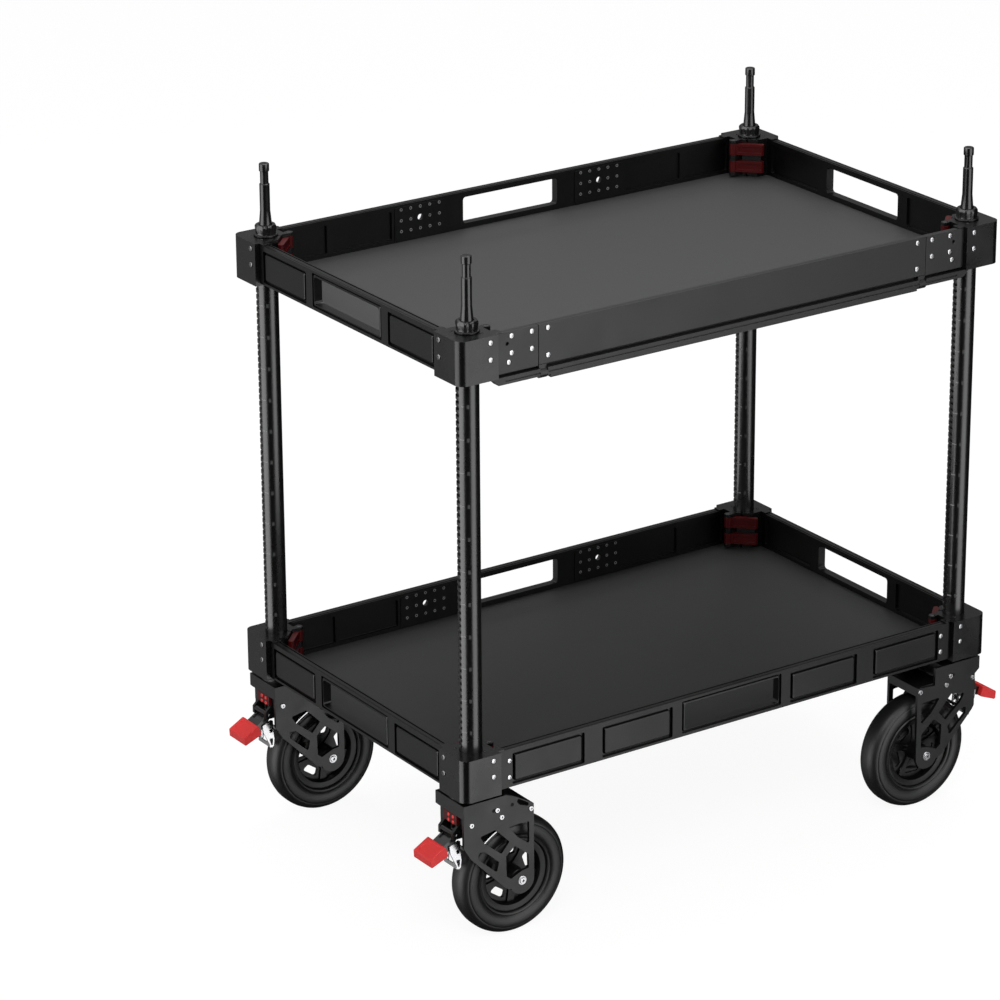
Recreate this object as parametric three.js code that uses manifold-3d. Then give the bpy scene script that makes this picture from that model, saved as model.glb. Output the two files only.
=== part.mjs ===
// Camera cart: two trays on four posts, with baby pins, clamp levers and braked swivel casters.
// Millimetres, +Z up, the floor at z = 0, the fold-down front panel on the -Y side.

import * as THREE from 'three';
import { mergeVertices } from 'three/addons/utils/BufferGeometryUtils.js';
import Module from 'manifold-3d';

const wasm = await Module();
wasm.setup();

// Driving sizes of the whole cart
const cartLength = 1010;
const cartWidth = 634;
const trayRise = 661;
const postDiameter = 35;
const postInset = 38;
const wheelDiameter = 193;
const wheelTrail = 71.6;

// Clearance between seated pieces, run of a cut past a face, and depth of a join
const seatGap = 0.3;
const overrun = 2;
const rootDepth = 2;

// Wheels
const tyreWidth = 44;
const tyreSideInset = 4;
const tyreTreadInset = 14;
const tyreBead = 36;
const tyreSides = 24;
const rimInset = 3;
const rimDepth = 11;
const hubRadius = 15;
const hubGap = 4.5;
const hubSides = 12;
const spokeCount = 5;
const spokeWidth = 13;
const spokeDepth = 16;
const spokeStartDegrees = 19;
const axleRadius = 6;
const axleGap = 0.3;
const axleHeadRadius = 9;
const axleHeadHeight = 4;
const axleSides = 10;

// Forks and their swivels
const forkPlate = 5;
const forkGap = 11.5;
const forkHeel = 33.7;
const bossRadius = 22;
const tyreClearance = 32;
const crownHeight = 25.7;
const crossHeight = 14.6;
const casterInset = 46.7;
const bearingHeight = 3;
const bearingRadius = 34;
const bearingSides = 16;
const stemRadius = 12;
const stemDepth = 20;
const stemSides = 12;

// Swivel lock, brake hinge and pedal
const housingInset = 6;
const housingThickness = 6;
const housingHeight = 23;
const lockWidth = 42;
const lockHeight = 17;
const lockDepth = 6;
const pivotReach = 37;
const pivotDrop = 55.7;
const pivotPinRadius = 3;
const pivotGap = 0.4;
const lugOuter = 20;
const lugThickness = 5;
const lugDrop = 8.5;
const barrelRadius = 6.5;
const pedalReach = 53.2;
const pedalWidth = 41;
const pedalHeight = 50;
const pedalArmWidth = 24;
const pedalSides = 12;
const yokeWidth = 24;
const yokeThickness = 3;
const yokeDrop = 59;

// Corner blocks
const blockHeight = 68.5;
const blockLeg = 67.5;
const blockFloor = 8;
const cornerRadius = 15;
const cornerSteps = 4;
const boreGap = 0.3;
const clampWall = 6.2;
const clampSlit = 3;
const lipLength = 10.5;
const lipThickness = 1.7;

// Walls and decks
const wallRecess = 8;
const wallThickness = 14;
const wallRise = 3;
const wallDrop = 2;
const outerBayDepth = 5;
const innerBayDepth = 4;
const bayRise = 8;
const bayDrop = 8.5;
const baySpacing = 33;
const bayEndMargin = 25;
const sideBayEndMargin = 11;
const bayFrameGap = 17;
const handleLength = 182;
const handleHeight = 43.5;
const handleDrop = 9;
const handleFrame = 6;
const handleFrameDepth = 2;
const padGap = 34;
const padLength = 96;
const padMargin = 4;
const padThickness = 1.2;
const padHoleRadius = 5.5;
const innerBayGap = 5;
const innerBayEndMargin = 4;
const deckThickness = 5;
const deckRise = 0.3;

// Fold-down front panel
const panelThickness = 10;
const panelEndGap = 0.5;
const panelRise = 4.5;
const plateLength = 74.9;
const latchHoleRadius = 2.6;
const latchHoleDrop = 20.5;
const latchHoleInset = 18.5;
const railEndInset = 58;
const railTaper = 12;
const railDepth = 14;
const railHeight = 11.7;
const railLipHeight = 5;
const railLipInset = 18.5;
const hingeRise = 3;
const hingePinRadius = 2.5;
const hingePinSides = 10;
const hingeGap = 0.4;
const hingeWidth = 13;
const hingeInset = 0.5;
const knuckleRadius = 7.6;
const knuckleSides = 12;
const strapThickness = 2.4;
const strapWidth = 22;
const strapTopDrop = 6;

// Posts, baby pins and pin locks
const postWall = 3;
const postSides = 20;
const pinHeadRadius = 8;
const pinNeckRadius = 6.5;
const pinBaseRadius = 10.2;
const pinHeadHeight = 12.3;
const pinNeckHeight = 20.4;
const pinMainHeight = 43;
const pinConeHeight = 21.7;
const pinPlugHeight = 40;
const pinSides = 12;
const lockCollarHeight = 18;
const lockCollarRadius = 17.2;
const lockFlangeRadius = 18.8;
const lockFlangeHeight = 3;
const lockLobes = 8;
const lockLobeDepth = 1.4;
const lockGap = 0.6;

// Clamp levers
const leverHalfWidth = 29;
const leverThickness = 9;
const leverBarHeight = 19;
const leverBarGap = 10;
const leverTopDrop = 5.5;
const leverPivotSide = 22;
const leverPivotOut = 7;
const leverEyeRadius = 6.5;
const leverPinRadius = 3;
const leverPinGap = 0.5;
const leverSides = 10;
const leverFaceGap = 1.2;
const leverTipChamfer = 3;
const leverWebThickness = 3;
const leverWebInset = 5;
const leverWebClearance = 8;
const earHeight = 6;
const earSideInset = 14;

// Heights and reaches that follow from the sizes above
const wheelRadius = wheelDiameter / 2;
const rimRadius = wheelRadius - tyreBead;
const forkInner = tyreWidth / 2 + forkGap;
const forkOuter = forkInner + forkPlate;
const crownBottom = wheelDiameter + tyreClearance;
const crownTop = crownBottom + crownHeight;
const forkLength = forkHeel + wheelTrail + bossRadius;
const pivotHeight = crownTop - pivotDrop;
const halfLength = cartLength / 2;
const halfWidth = cartWidth / 2;
const postRadius = postDiameter / 2;
const postX = halfLength - postInset;
const postY = halfWidth - postInset;
const casterX = postX;
const casterY = halfWidth - casterInset;
const lowerTrayBottom = crownTop + bearingHeight + seatGap;
const upperTrayBottom = lowerTrayBottom + trayRise;
const upperTrayTop = upperTrayBottom + blockHeight;
const clampFace = postRadius + boreGap + clampWall;
const clampDiagonal = 2 * postInset + clampFace * Math.SQRT2;
const wallFace = halfWidth - wallRecess;
const wallInset = wallRecess + wallThickness;
const longSpan = halfLength - blockLeg - seatGap;
const sideSpan = halfWidth - blockLeg - seatGap;
const handleHalf = handleLength / 2;
const panelHalfLength = longSpan - plateLength - panelEndGap;
const panelBottom = upperTrayBottom + panelRise;
const panelTop = upperTrayTop - wallDrop;
const railFront = -(halfWidth - wallRecess / 2);
const railTop = upperTrayBottom - seatGap;
const railBottom = railTop - railHeight;
const hingeY = railFront + railDepth / 2;
const hingeZ = railBottom + hingeRise;
const strapFace = -wallFace + panelThickness + seatGap;
const postBottom = lowerTrayBottom + blockFloor + seatGap;

const corners = [
  { name: 'front_left', sx: -1, sy: -1 },
  { name: 'back_left', sx: -1, sy: 1 },
  { name: 'back_right', sx: 1, sy: 1 },
  { name: 'front_right', sx: 1, sy: -1 },
];

const lowerTray = { name: 'lower', bottom: lowerTrayBottom, lowest: true };
const upperTray = { name: 'upper', bottom: upperTrayBottom, lowest: false };

// Finishes
const blackMetal = new THREE.MeshStandardMaterial({ color: 0x2b2b2c, roughness: 0.45, metalness: 0.6 });
const blackPlastic = new THREE.MeshStandardMaterial({ color: 0x242425, roughness: 0.55, metalness: 0 });
const postBlack = new THREE.MeshStandardMaterial({ color: 0x161617, roughness: 0.22, metalness: 0.7 });
const deckGrey = new THREE.MeshStandardMaterial({ color: 0x464646, roughness: 0.8, metalness: 0 });
const leverRed = new THREE.MeshStandardMaterial({ color: 0xb01a1e, roughness: 0.45, metalness: 0.1 });
const pedalRed = new THREE.MeshStandardMaterial({ color: 0xd03030, roughness: 0.45, metalness: 0 });
const rubber = new THREE.MeshStandardMaterial({ color: 0x2a2a2b, roughness: 0.85, metalness: 0 });

// Solids and meshes

function toSolid(geometry) {
  const bare = geometry.clone();
  bare.deleteAttribute('normal');
  bare.deleteAttribute('uv');
  const merged = mergeVertices(bare);
  return new wasm.Manifold(new wasm.Mesh({
    numProp: 3,
    vertProperties: new Float32Array(merged.attributes.position.array),
    triVerts: new Uint32Array(merged.index.array),
  }));
}

function toGeometry(solid) {
  const mesh = solid.getMesh();
  const geometry = new THREE.BufferGeometry();
  geometry.setAttribute('position', new THREE.BufferAttribute(mesh.vertProperties, 3));
  geometry.setIndex(new THREE.BufferAttribute(mesh.triVerts, 1));
  geometry.computeVertexNormals();
  return geometry;
}

function join(geometries) {
  return geometries.map(toSolid).reduce((whole, piece) => whole.add(piece));
}

function cut(solid, geometries) {
  return geometries.map(toSolid).reduce((whole, piece) => whole.subtract(piece), solid);
}

function addMesh(parent, name, geometry, material) {
  const mesh = new THREE.Mesh(geometry, material);
  mesh.name = name;
  parent.add(mesh);
  return mesh;
}

// A box between two opposite corners
function boxBetween(x0, x1, y0, y1, z0, z1) {
  const box = new THREE.BoxGeometry(Math.abs(x1 - x0), Math.abs(y1 - y0), Math.abs(z1 - z0));
  return box.translate((x0 + x1) / 2, (y0 + y1) / 2, (z0 + z1) / 2);
}

// A plan outline raised along Z
function raised(points, z0, z1) {
  const shape = new THREE.Shape(points);
  const solid = new THREE.ExtrudeGeometry(shape, { depth: z1 - z0, bevelEnabled: false });
  return solid.translate(0, 0, z0);
}

// An outline in the XZ plane, extruded along Y
function upright(shape, y0, y1) {
  const options = { depth: y1 - y0, bevelEnabled: false, curveSegments: 6 };
  return new THREE.ExtrudeGeometry(shape, options).rotateX(Math.PI / 2).translate(0, y1, 0);
}

// A cylinder along Z
function column(radius, x, y, z0, z1, sides) {
  const cylinder = new THREE.CylinderGeometry(radius, radius, z1 - z0, sides);
  return cylinder.rotateX(Math.PI / 2).translate(x, y, (z0 + z1) / 2);
}

// A cylinder along Y
function crossPin(radius, x, z, y0, y1, sides) {
  const cylinder = new THREE.CylinderGeometry(radius, radius, Math.abs(y1 - y0), sides);
  return cylinder.translate(x, (y0 + y1) / 2, z);
}

// A cylinder along X
function lengthPin(radius, y, z, x0, x1, sides) {
  const cylinder = new THREE.CylinderGeometry(radius, radius, Math.abs(x1 - x0), sides);
  return cylinder.rotateZ(Math.PI / 2).translate((x0 + x1) / 2, y, z);
}

// A profile of radius and height, turned about Z
function turned(profile, sides) {
  const points = profile.map(([radius, height]) => new THREE.Vector2(radius, height));
  return new THREE.LatheGeometry(points, sides).rotateX(Math.PI / 2);
}

// A closed ring between two radii, centred on the XY plane
function ring(inner, outer, width, sides) {
  const half = width / 2;
  return turned([[inner, -half], [outer, -half], [outer, half], [inner, half], [inner, -half]], sides);
}

// Corner frames: a runs inward along X and b inward along Y from the cart's outer corner

function cornerPoint(corner, a, b) {
  return new THREE.Vector2(corner.sx * (halfLength - a), corner.sy * (halfWidth - b));
}

// side runs across the corner's diagonal and out runs from the post to the tray's middle
function clampPoint(corner, side, out) {
  const a = postInset + (out + side) * Math.SQRT1_2;
  const b = postInset + (out - side) * Math.SQRT1_2;
  return cornerPoint(corner, a, b);
}

function cornerBox(corner, a0, a1, b0, b1, z0, z1) {
  const start = cornerPoint(corner, a0, b0);
  const end = cornerPoint(corner, a1, b1);
  return boxBetween(start.x, end.x, start.y, end.y, z0, z1);
}

function pivotColumn(corner, radius, z0, z1) {
  const pivot = clampPoint(corner, leverPivotSide, clampFace + leverPivotOut);
  return column(radius, pivot.x, pivot.y, z0, z1, leverSides);
}

// Heights of the two lever bars and of the ears of the block above, between and below them
function leverLevels(top) {
  const upperBarTop = top - leverTopDrop;
  const upperBarBottom = upperBarTop - leverBarHeight;
  const lowerBarTop = upperBarBottom - leverBarGap;
  const lowerBarBottom = lowerBarTop - leverBarHeight;
  const earBottom = lowerBarBottom - seatGap - earHeight;
  const bars = [[lowerBarBottom, lowerBarTop], [upperBarBottom, upperBarTop]];
  const ears = [
    [upperBarTop + seatGap, top],
    [lowerBarTop + seatGap, upperBarBottom - seatGap],
    [earBottom, lowerBarBottom - seatGap],
  ];
  return { bars, ears, earBottom, lowerBarBottom, upperBarTop };
}

// Corner blocks

function blockOutline(corner) {
  const points = [];
  for (let i = 0; i <= cornerSteps; i += 1) {
    const angle = (i / cornerSteps) * Math.PI / 2;
    const a = cornerRadius * (1 - Math.cos(angle));
    const b = cornerRadius * (1 - Math.sin(angle));
    points.push(cornerPoint(corner, a, b));
  }
  points.push(cornerPoint(corner, blockLeg, 0));
  points.push(cornerPoint(corner, blockLeg, clampDiagonal - blockLeg));
  points.push(cornerPoint(corner, clampDiagonal - blockLeg, blockLeg));
  points.push(cornerPoint(corner, 0, blockLeg));
  return points;
}

function earOutline(corner) {
  const out = clampFace + leverPivotOut;
  const side = leverPivotSide;
  const reach = leverEyeRadius;
  return [
    clampPoint(corner, side - earSideInset, clampFace - rootDepth),
    clampPoint(corner, side - earSideInset, clampFace),
    clampPoint(corner, side - reach, out + reach / 2),
    clampPoint(corner, side - reach / 2, out + reach),
    clampPoint(corner, side + reach / 2, out + reach),
    clampPoint(corner, side + reach, out + reach / 2),
    clampPoint(corner, side + reach, out - reach / 2),
    clampPoint(corner, side - earSideInset / 3, clampFace - rootDepth),
  ];
}

function slitOutline(corner) {
  const half = clampSlit / 2;
  return [
    clampPoint(corner, -half, 0),
    clampPoint(corner, half, 0),
    clampPoint(corner, half, clampFace + overrun),
    clampPoint(corner, -half, clampFace + overrun),
  ];
}

function cornerBlock(corner, tray) {
  const top = tray.bottom + blockHeight;
  const { ears, earBottom } = leverLevels(top);
  const post = cornerPoint(corner, postInset, postInset);
  const lipBase = top - lipThickness;
  const lipStart = blockLeg - rootDepth;
  const lipEnd = blockLeg + lipLength;
  const boreBottom = tray.lowest ? tray.bottom + blockFloor : tray.bottom - overrun;
  const body = join([
    raised(blockOutline(corner), tray.bottom, top),
    ...ears.map(([z0, z1]) => raised(earOutline(corner), z0, z1)),
    cornerBox(corner, lipStart, lipEnd, wallRecess, wallInset, lipBase, top),
    cornerBox(corner, wallRecess, wallInset, lipStart, lipEnd, lipBase, top),
  ]);
  const opened = cut(body, [
    column(postRadius + boreGap, post.x, post.y, boreBottom, top + overrun, postSides),
    raised(slitOutline(corner), boreBottom, top + overrun),
  ]);
  const pinned = opened.add(toSolid(pivotColumn(corner, leverPinRadius, earBottom, top)));
  return toGeometry(tray.lowest ? pinned.add(swivelBearing(corner)) : pinned);
}

// The fixed half of a caster's swivel: a flat disc and the stem that the fork turns on
function swivelBearing(corner) {
  const x = corner.sx * casterX;
  const y = corner.sy * casterY;
  const discBottom = crownTop + seatGap;
  return join([
    column(bearingRadius, x, y, discBottom, lowerTrayBottom, bearingSides),
    column(stemRadius, x, y, crownTop - stemDepth, lowerTrayBottom + rootDepth, stemSides),
  ]);
}

// Clamp levers

function leverOutline(corner) {
  const inner = clampFace + leverFaceGap;
  const outer = inner + leverThickness;
  const tip = -leverHalfWidth;
  return [
    clampPoint(corner, tip, inner + leverTipChamfer),
    clampPoint(corner, tip + leverTipChamfer, inner),
    clampPoint(corner, leverPivotSide, inner),
    clampPoint(corner, leverPivotSide, outer),
    clampPoint(corner, tip + leverTipChamfer, outer),
    clampPoint(corner, tip, outer - leverTipChamfer),
  ];
}

function leverWebOutline(corner) {
  const inner = clampFace + leverFaceGap;
  const start = -leverHalfWidth + leverWebInset;
  const end = leverPivotSide - leverEyeRadius - leverWebClearance;
  return [
    clampPoint(corner, start, inner),
    clampPoint(corner, end, inner),
    clampPoint(corner, end, inner + leverWebThickness),
    clampPoint(corner, start, inner + leverWebThickness),
  ];
}

function clampLever(corner, tray) {
  const { bars, lowerBarBottom, upperBarTop } = leverLevels(tray.bottom + blockHeight);
  const body = join([
    raised(leverWebOutline(corner), lowerBarBottom, upperBarTop),
    ...bars.map(([z0, z1]) => raised(leverOutline(corner), z0, z1)),
    ...bars.map(([z0, z1]) => pivotColumn(corner, leverEyeRadius, z0, z1)),
  ]);
  const holeRadius = leverPinRadius + leverPinGap;
  const hole = pivotColumn(corner, holeRadius, lowerBarBottom - overrun, upperBarTop + overrun);
  return toGeometry(cut(body, [hole]));
}

// Walls are drawn along X with the outer face at y = 0 and the inner face behind it

function mirrored([start, end], y0, y1, z0, z1) {
  return [-1, 1].map((sign) => boxBetween(sign * start, sign * end, y0, y1, z0, z1));
}

function wallGeometry(halfSpan, tray, outerBays, innerBays, hasPads) {
  const z0 = tray.bottom + wallRise;
  const z1 = tray.bottom + blockHeight - wallDrop;
  const bayBottom = z0 + bayRise;
  const bayTop = z1 - bayDrop;
  const handleTop = z1 - handleDrop;
  const handleBottom = handleTop - handleHeight;
  const frameHalf = handleHalf + handleFrame;
  const padEnd = wallThickness + padThickness;
  const padStart = handleHalf + padGap;
  const pad = [padStart, padStart + padLength];
  const padMiddle = padStart + padLength / 2;
  const padZ = (bayBottom + bayTop) / 2;
  const back = wallThickness + overrun;
  const pieces = [boxBetween(-halfSpan, halfSpan, 0, wallThickness, z0, z1)];
  if (hasPads) {
    pieces.push(...mirrored(pad, wallThickness - rootDepth, padEnd, z0 + padMargin, z1 - padMargin));
  }
  const cuts = [
    ...outerBays.flatMap((bay) => mirrored(bay, -overrun, outerBayDepth, bayBottom, bayTop)),
    ...innerBays.flatMap((bay) => mirrored(bay, wallThickness - innerBayDepth, back, bayBottom, bayTop)),
    boxBetween(-frameHalf, frameHalf, -overrun, handleFrameDepth, bayBottom, bayTop),
    boxBetween(-handleHalf, handleHalf, -overrun, back, handleBottom, handleTop),
  ];
  if (hasPads) {
    const holes = [-padMiddle, padMiddle];
    cuts.push(...holes.map((x) => crossPin(padHoleRadius, x, padZ, -overrun, padEnd + overrun, pinSides)));
  }
  return toGeometry(cut(join(pieces), cuts));
}

function sideBays() {
  return [[handleHalf + handleFrame + bayFrameGap, sideSpan - sideBayEndMargin]];
}

function longBays() {
  const start = handleHalf + handleFrame + bayFrameGap;
  const end = longSpan - bayEndMargin;
  const length = (end - start - baySpacing) / 2;
  return [[start, start + length], [end - length, end]];
}

// Where the two bays beside each perforated pad begin and end, as shares of the run from pad to wall end
const padBayShares = [[0, 0.535], [0.583, 1]];

function padBays() {
  const start = handleHalf + padGap + padLength + innerBayGap;
  const run = longSpan - innerBayEndMargin - start;
  return padBayShares.map((shares) => shares.map((share) => start + share * run));
}

function addWalls(group, tray) {
  if (tray.lowest) {
    const geometry = wallGeometry(longSpan, tray, longBays(), longBays(), false);
    const front = addMesh(group, 'lower_front_wall', geometry, blackPlastic);
    front.position.y = -wallFace;
  }
  const backGeometry = wallGeometry(longSpan, tray, longBays(), padBays(), true);
  const back = addMesh(group, `${tray.name}_back_wall`, backGeometry, blackPlastic);
  back.position.y = wallFace;
  back.rotation.z = Math.PI;
  for (const [side, sign] of [['left', -1], ['right', 1]]) {
    const geometry = wallGeometry(sideSpan, tray, sideBays(), sideBays(), false);
    const wall = addMesh(group, `${tray.name}_${side}_wall`, geometry, blackPlastic);
    wall.position.x = sign * (halfLength - wallRecess);
    wall.rotation.z = sign * Math.PI / 2;
  }
}

// Decks lie inside the walls, with their corners cut along the blocks

function deckGeometry(tray) {
  const edgeX = halfLength - wallInset - seatGap;
  const backEdge = halfWidth - wallInset - seatGap;
  const frontEdge = tray.lowest ? backEdge : -strapFace - strapThickness - seatGap;
  const diagonal = clampDiagonal + seatGap * Math.SQRT2;
  const leg = blockLeg + seatGap;
  const points = [];
  for (const corner of corners) {
    const edgeY = corner.sy < 0 ? frontEdge : backEdge;
    const edge = [
      new THREE.Vector2(corner.sx * (halfLength - leg), corner.sy * edgeY),
      cornerPoint(corner, leg, diagonal - leg),
      cornerPoint(corner, diagonal - leg, leg),
      new THREE.Vector2(corner.sx * edgeX, corner.sy * (halfWidth - leg)),
    ];
    if (corner.sx * corner.sy < 0) edge.reverse();
    points.push(...edge);
  }
  const bottom = tray.bottom + deckRise;
  return raised(points, bottom, bottom + deckThickness);
}

// Fold-down front panel with its end plates, rail and hinges

function panelBox(x0, x1, z0, z1) {
  return boxBetween(x0, x1, -wallFace, -wallFace + panelThickness, z0, z1);
}

function endPlate(sign) {
  const start = panelHalfLength + panelEndGap;
  const plate = panelBox(sign * start, sign * longSpan, upperTrayBottom + wallRise, panelTop);
  const holeX = sign * (longSpan - latchHoleInset);
  const holeZ = upperTrayTop - latchHoleDrop;
  const holeEnd = -wallFace + panelThickness / 2;
  const hole = crossPin(latchHoleRadius, holeX, holeZ, -wallFace - overrun, holeEnd, hingePinSides);
  return toGeometry(cut(toSolid(plate), [hole]));
}

function railShape() {
  const end = halfLength - railEndInset;
  const lipEnd = panelHalfLength - railLipInset;
  const lipBottom = railBottom - railLipHeight;
  return new THREE.Shape([
    new THREE.Vector2(-end, railTop),
    new THREE.Vector2(-end + railTaper, railBottom),
    new THREE.Vector2(-lipEnd, railBottom),
    new THREE.Vector2(-lipEnd, lipBottom),
    new THREE.Vector2(lipEnd, lipBottom),
    new THREE.Vector2(lipEnd, railBottom),
    new THREE.Vector2(end - railTaper, railBottom),
    new THREE.Vector2(end, railTop),
  ]);
}

// The rail is notched for each hinge knuckle, and a pin crosses the notch
function frontRail() {
  const back = railFront + railDepth;
  const outer = panelHalfLength - hingeInset + seatGap;
  const inner = outer - hingeWidth - 2 * seatGap;
  const rail = cut(toSolid(upright(railShape(), railFront, back)), mirrored(
    [inner, outer],
    railFront - overrun,
    back + overrun,
    railBottom - overrun,
    railTop + overrun,
  ));
  const pins = [-1, 1].map((sign) => {
    const start = sign * (inner - rootDepth);
    const end = sign * (outer + rootDepth);
    return toSolid(lengthPin(hingePinRadius, hingeY, hingeZ, start, end, hingePinSides));
  });
  return toGeometry(pins.reduce((whole, pin) => whole.add(pin), rail));
}

function panelHinge(sign) {
  const outer = sign * (panelHalfLength - hingeInset);
  const inner = outer - sign * hingeWidth;
  const strapInner = outer - sign * strapWidth;
  const strapBack = strapFace + strapThickness;
  const tongueTop = panelBottom - seatGap;
  const body = join([
    lengthPin(knuckleRadius, hingeY, hingeZ, inner, outer, knuckleSides),
    boxBetween(inner, outer, -wallFace, strapBack, hingeZ, tongueTop),
    boxBetween(strapInner, outer, strapFace, strapBack, tongueTop - strapThickness, panelTop - strapTopDrop),
  ]);
  const boreRadius = hingePinRadius + hingeGap;
  const boreStart = inner - sign * overrun;
  const boreEnd = outer + sign * overrun;
  return toGeometry(cut(body, [lengthPin(boreRadius, hingeY, hingeZ, boreStart, boreEnd, hingePinSides)]));
}

// Posts, baby pins and pin locks are drawn on the post's axis

function postGeometry() {
  const tube = toSolid(column(postRadius, 0, 0, postBottom, upperTrayTop, postSides));
  const boreRadius = postRadius - postWall;
  const bore = column(boreRadius, 0, 0, postBottom - overrun, upperTrayTop + overrun, postSides);
  return toGeometry(cut(tube, [bore]));
}

function babyPin() {
  const foot = upperTrayTop + seatGap + lockCollarHeight;
  const coneTop = foot + pinConeHeight;
  const mainTop = coneTop + pinMainHeight;
  const neckTop = mainTop + pinNeckHeight;
  const headTop = neckTop + pinHeadHeight;
  const plugRadius = postRadius - postWall - seatGap;
  return turned([
    [0, upperTrayTop - pinPlugHeight],
    [plugRadius, upperTrayTop - pinPlugHeight],
    [plugRadius, upperTrayTop],
    [pinBaseRadius, upperTrayTop],
    [pinBaseRadius, foot],
    [pinHeadRadius, coneTop],
    [pinHeadRadius, mainTop],
    [pinNeckRadius, mainTop],
    [pinNeckRadius, neckTop],
    [pinHeadRadius, neckTop],
    [pinHeadRadius, headTop],
    [0, headTop],
  ], pinSides);
}

function pinLock() {
  const bottom = upperTrayTop + seatGap;
  const flangeTop = bottom + lockFlangeHeight;
  const top = bottom + lockCollarHeight;
  const points = [];
  for (let i = 0; i < 2 * lockLobes; i += 1) {
    const radius = lockCollarRadius - (i % 2) * lockLobeDepth;
    const angle = (i / lockLobes) * Math.PI;
    points.push(new THREE.Vector2(radius * Math.cos(angle), radius * Math.sin(angle)));
  }
  const body = join([
    column(lockFlangeRadius, 0, 0, bottom, flangeTop, 2 * lockLobes),
    raised(points, flangeTop - lockFlangeHeight / 2, top),
  ]);
  const bore = column(pinBaseRadius + lockGap, 0, 0, bottom - overrun, top + overrun, pinSides);
  return toGeometry(cut(body, [bore]));
}

// Casters are drawn with the swivel axis at the origin and the wheel trailing to +X.
// Shares run along the fork from its heel, and up from the axle to the top of the crown.

const forkBackShares = [[0, 1], [0, 0.522], [0.101, 0.386], [0.6, -0.04]];
const forkFrontShares = [[1, 0.8], [0.72, 0.93], [0.6, 1]];
const forkWindowShares = [
  [[0.626, 0.631], [0.932, 0.619], [0.932, 0.377], [0.765, 0.484]],
  [[0.228, 0.601], [0.447, 0.632], [0.649, 0.462], [0.533, 0.353], [0.292, 0.515]],
  [[0.198, 0.44], [0.291, 0.428], [0.496, 0.276], [0.466, 0.167], [0.203, 0.363]],
  [[0.726, 0.397], [0.92, 0.265], [0.925, 0.115], [0.825, 0.105], [0.668, 0.05], [0.605, 0.09], [0.596, 0.312]],
];
const bossStartTurnShare = -0.86;

function forkPoint([alongShare, upShare]) {
  const x = -forkHeel + alongShare * forkLength;
  const z = wheelRadius + upShare * (crownTop - wheelRadius);
  return new THREE.Vector2(x, z);
}

function forkPlateShape() {
  const shape = new THREE.Shape(forkBackShares.map(forkPoint));
  shape.absarc(wheelTrail, wheelRadius, bossRadius, bossStartTurnShare * Math.PI, 0, false);
  for (const share of forkFrontShares) {
    const point = forkPoint(share);
    shape.lineTo(point.x, point.y);
  }
  for (const windowShares of forkWindowShares) {
    shape.holes.push(new THREE.Path(windowShares.map(forkPoint)));
  }
  return shape;
}

function forkGeometry() {
  const plate = forkPlateShape();
  const crownFront = forkPoint(forkFrontShares[2]).x;
  const toe = forkPoint(forkFrontShares[0]).x;
  const crossTop = forkPoint(forkFrontShares[0]).y;
  const housingStart = -forkHeel + housingInset;
  const housingEnd = housingStart + housingThickness;
  const lockTop = crownBottom - seatGap;
  const lockBottom = lockTop - lockHeight;
  const lugs = [-1, 1].map((sign) => boxBetween(
    -pivotReach - barrelRadius,
    housingEnd,
    sign * lugOuter,
    sign * (lugOuter - lugThickness),
    pivotHeight - lugDrop,
    lockBottom + rootDepth,
  ));
  const body = join([
    upright(plate, -forkOuter, -forkInner),
    upright(plate, forkInner, forkOuter),
    boxBetween(-forkHeel, crownFront, -forkInner, forkInner, crownBottom, crownTop),
    boxBetween(crownFront, toe, -forkInner, forkInner, crossTop - crossHeight, crossTop),
    boxBetween(housingStart, housingEnd, -forkInner, forkInner, crownBottom - housingHeight, crownBottom),
    boxBetween(housingStart - lockDepth, housingStart, -lockWidth / 2, lockWidth / 2, lockBottom, lockTop),
    ...lugs,
    crossPin(pivotPinRadius, -pivotReach, pivotHeight, -lugOuter, lugOuter, pedalSides),
    ...axlePieces(),
  ]);
  const stemBottom = crownTop - stemDepth - seatGap;
  const stemBore = column(stemRadius + 2 * seatGap, 0, 0, stemBottom, crownTop + overrun, stemSides);
  return toGeometry(cut(body, [stemBore]));
}

// The axle bolt, clamped in the two fork plates, with its heads outside them
function axlePieces() {
  const heads = [-1, 1].map((sign) => crossPin(
    axleHeadRadius,
    wheelTrail,
    wheelRadius,
    sign * (forkOuter - rootDepth),
    sign * (forkOuter + axleHeadHeight),
    axleSides,
  ));
  return [crossPin(axleRadius, wheelTrail, wheelRadius, -forkOuter, forkOuter, axleSides), ...heads];
}

function rimGeometry() {
  const outer = rimRadius - seatGap;
  const inner = outer - rimDepth;
  const rimWidth = tyreWidth - 2 * (tyreSideInset + rimInset);
  const hubWidth = 2 * (forkInner - hubGap);
  const bore = axleRadius + 2 * axleGap;
  const pieces = [ring(inner, outer, rimWidth, tyreSides), ring(bore, hubRadius, hubWidth, hubSides)];
  for (let i = 0; i < spokeCount; i += 1) {
    const start = (hubRadius + bore) / 2;
    const end = inner + rimDepth / 3;
    const spoke = boxBetween(start, end, -spokeWidth / 2, spokeWidth / 2, -spokeDepth / 2, spokeDepth / 2);
    pieces.push(spoke.rotateZ(THREE.MathUtils.degToRad(spokeStartDegrees + (360 / spokeCount) * i)));
  }
  return toGeometry(join(pieces)).rotateX(Math.PI / 2);
}

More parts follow.
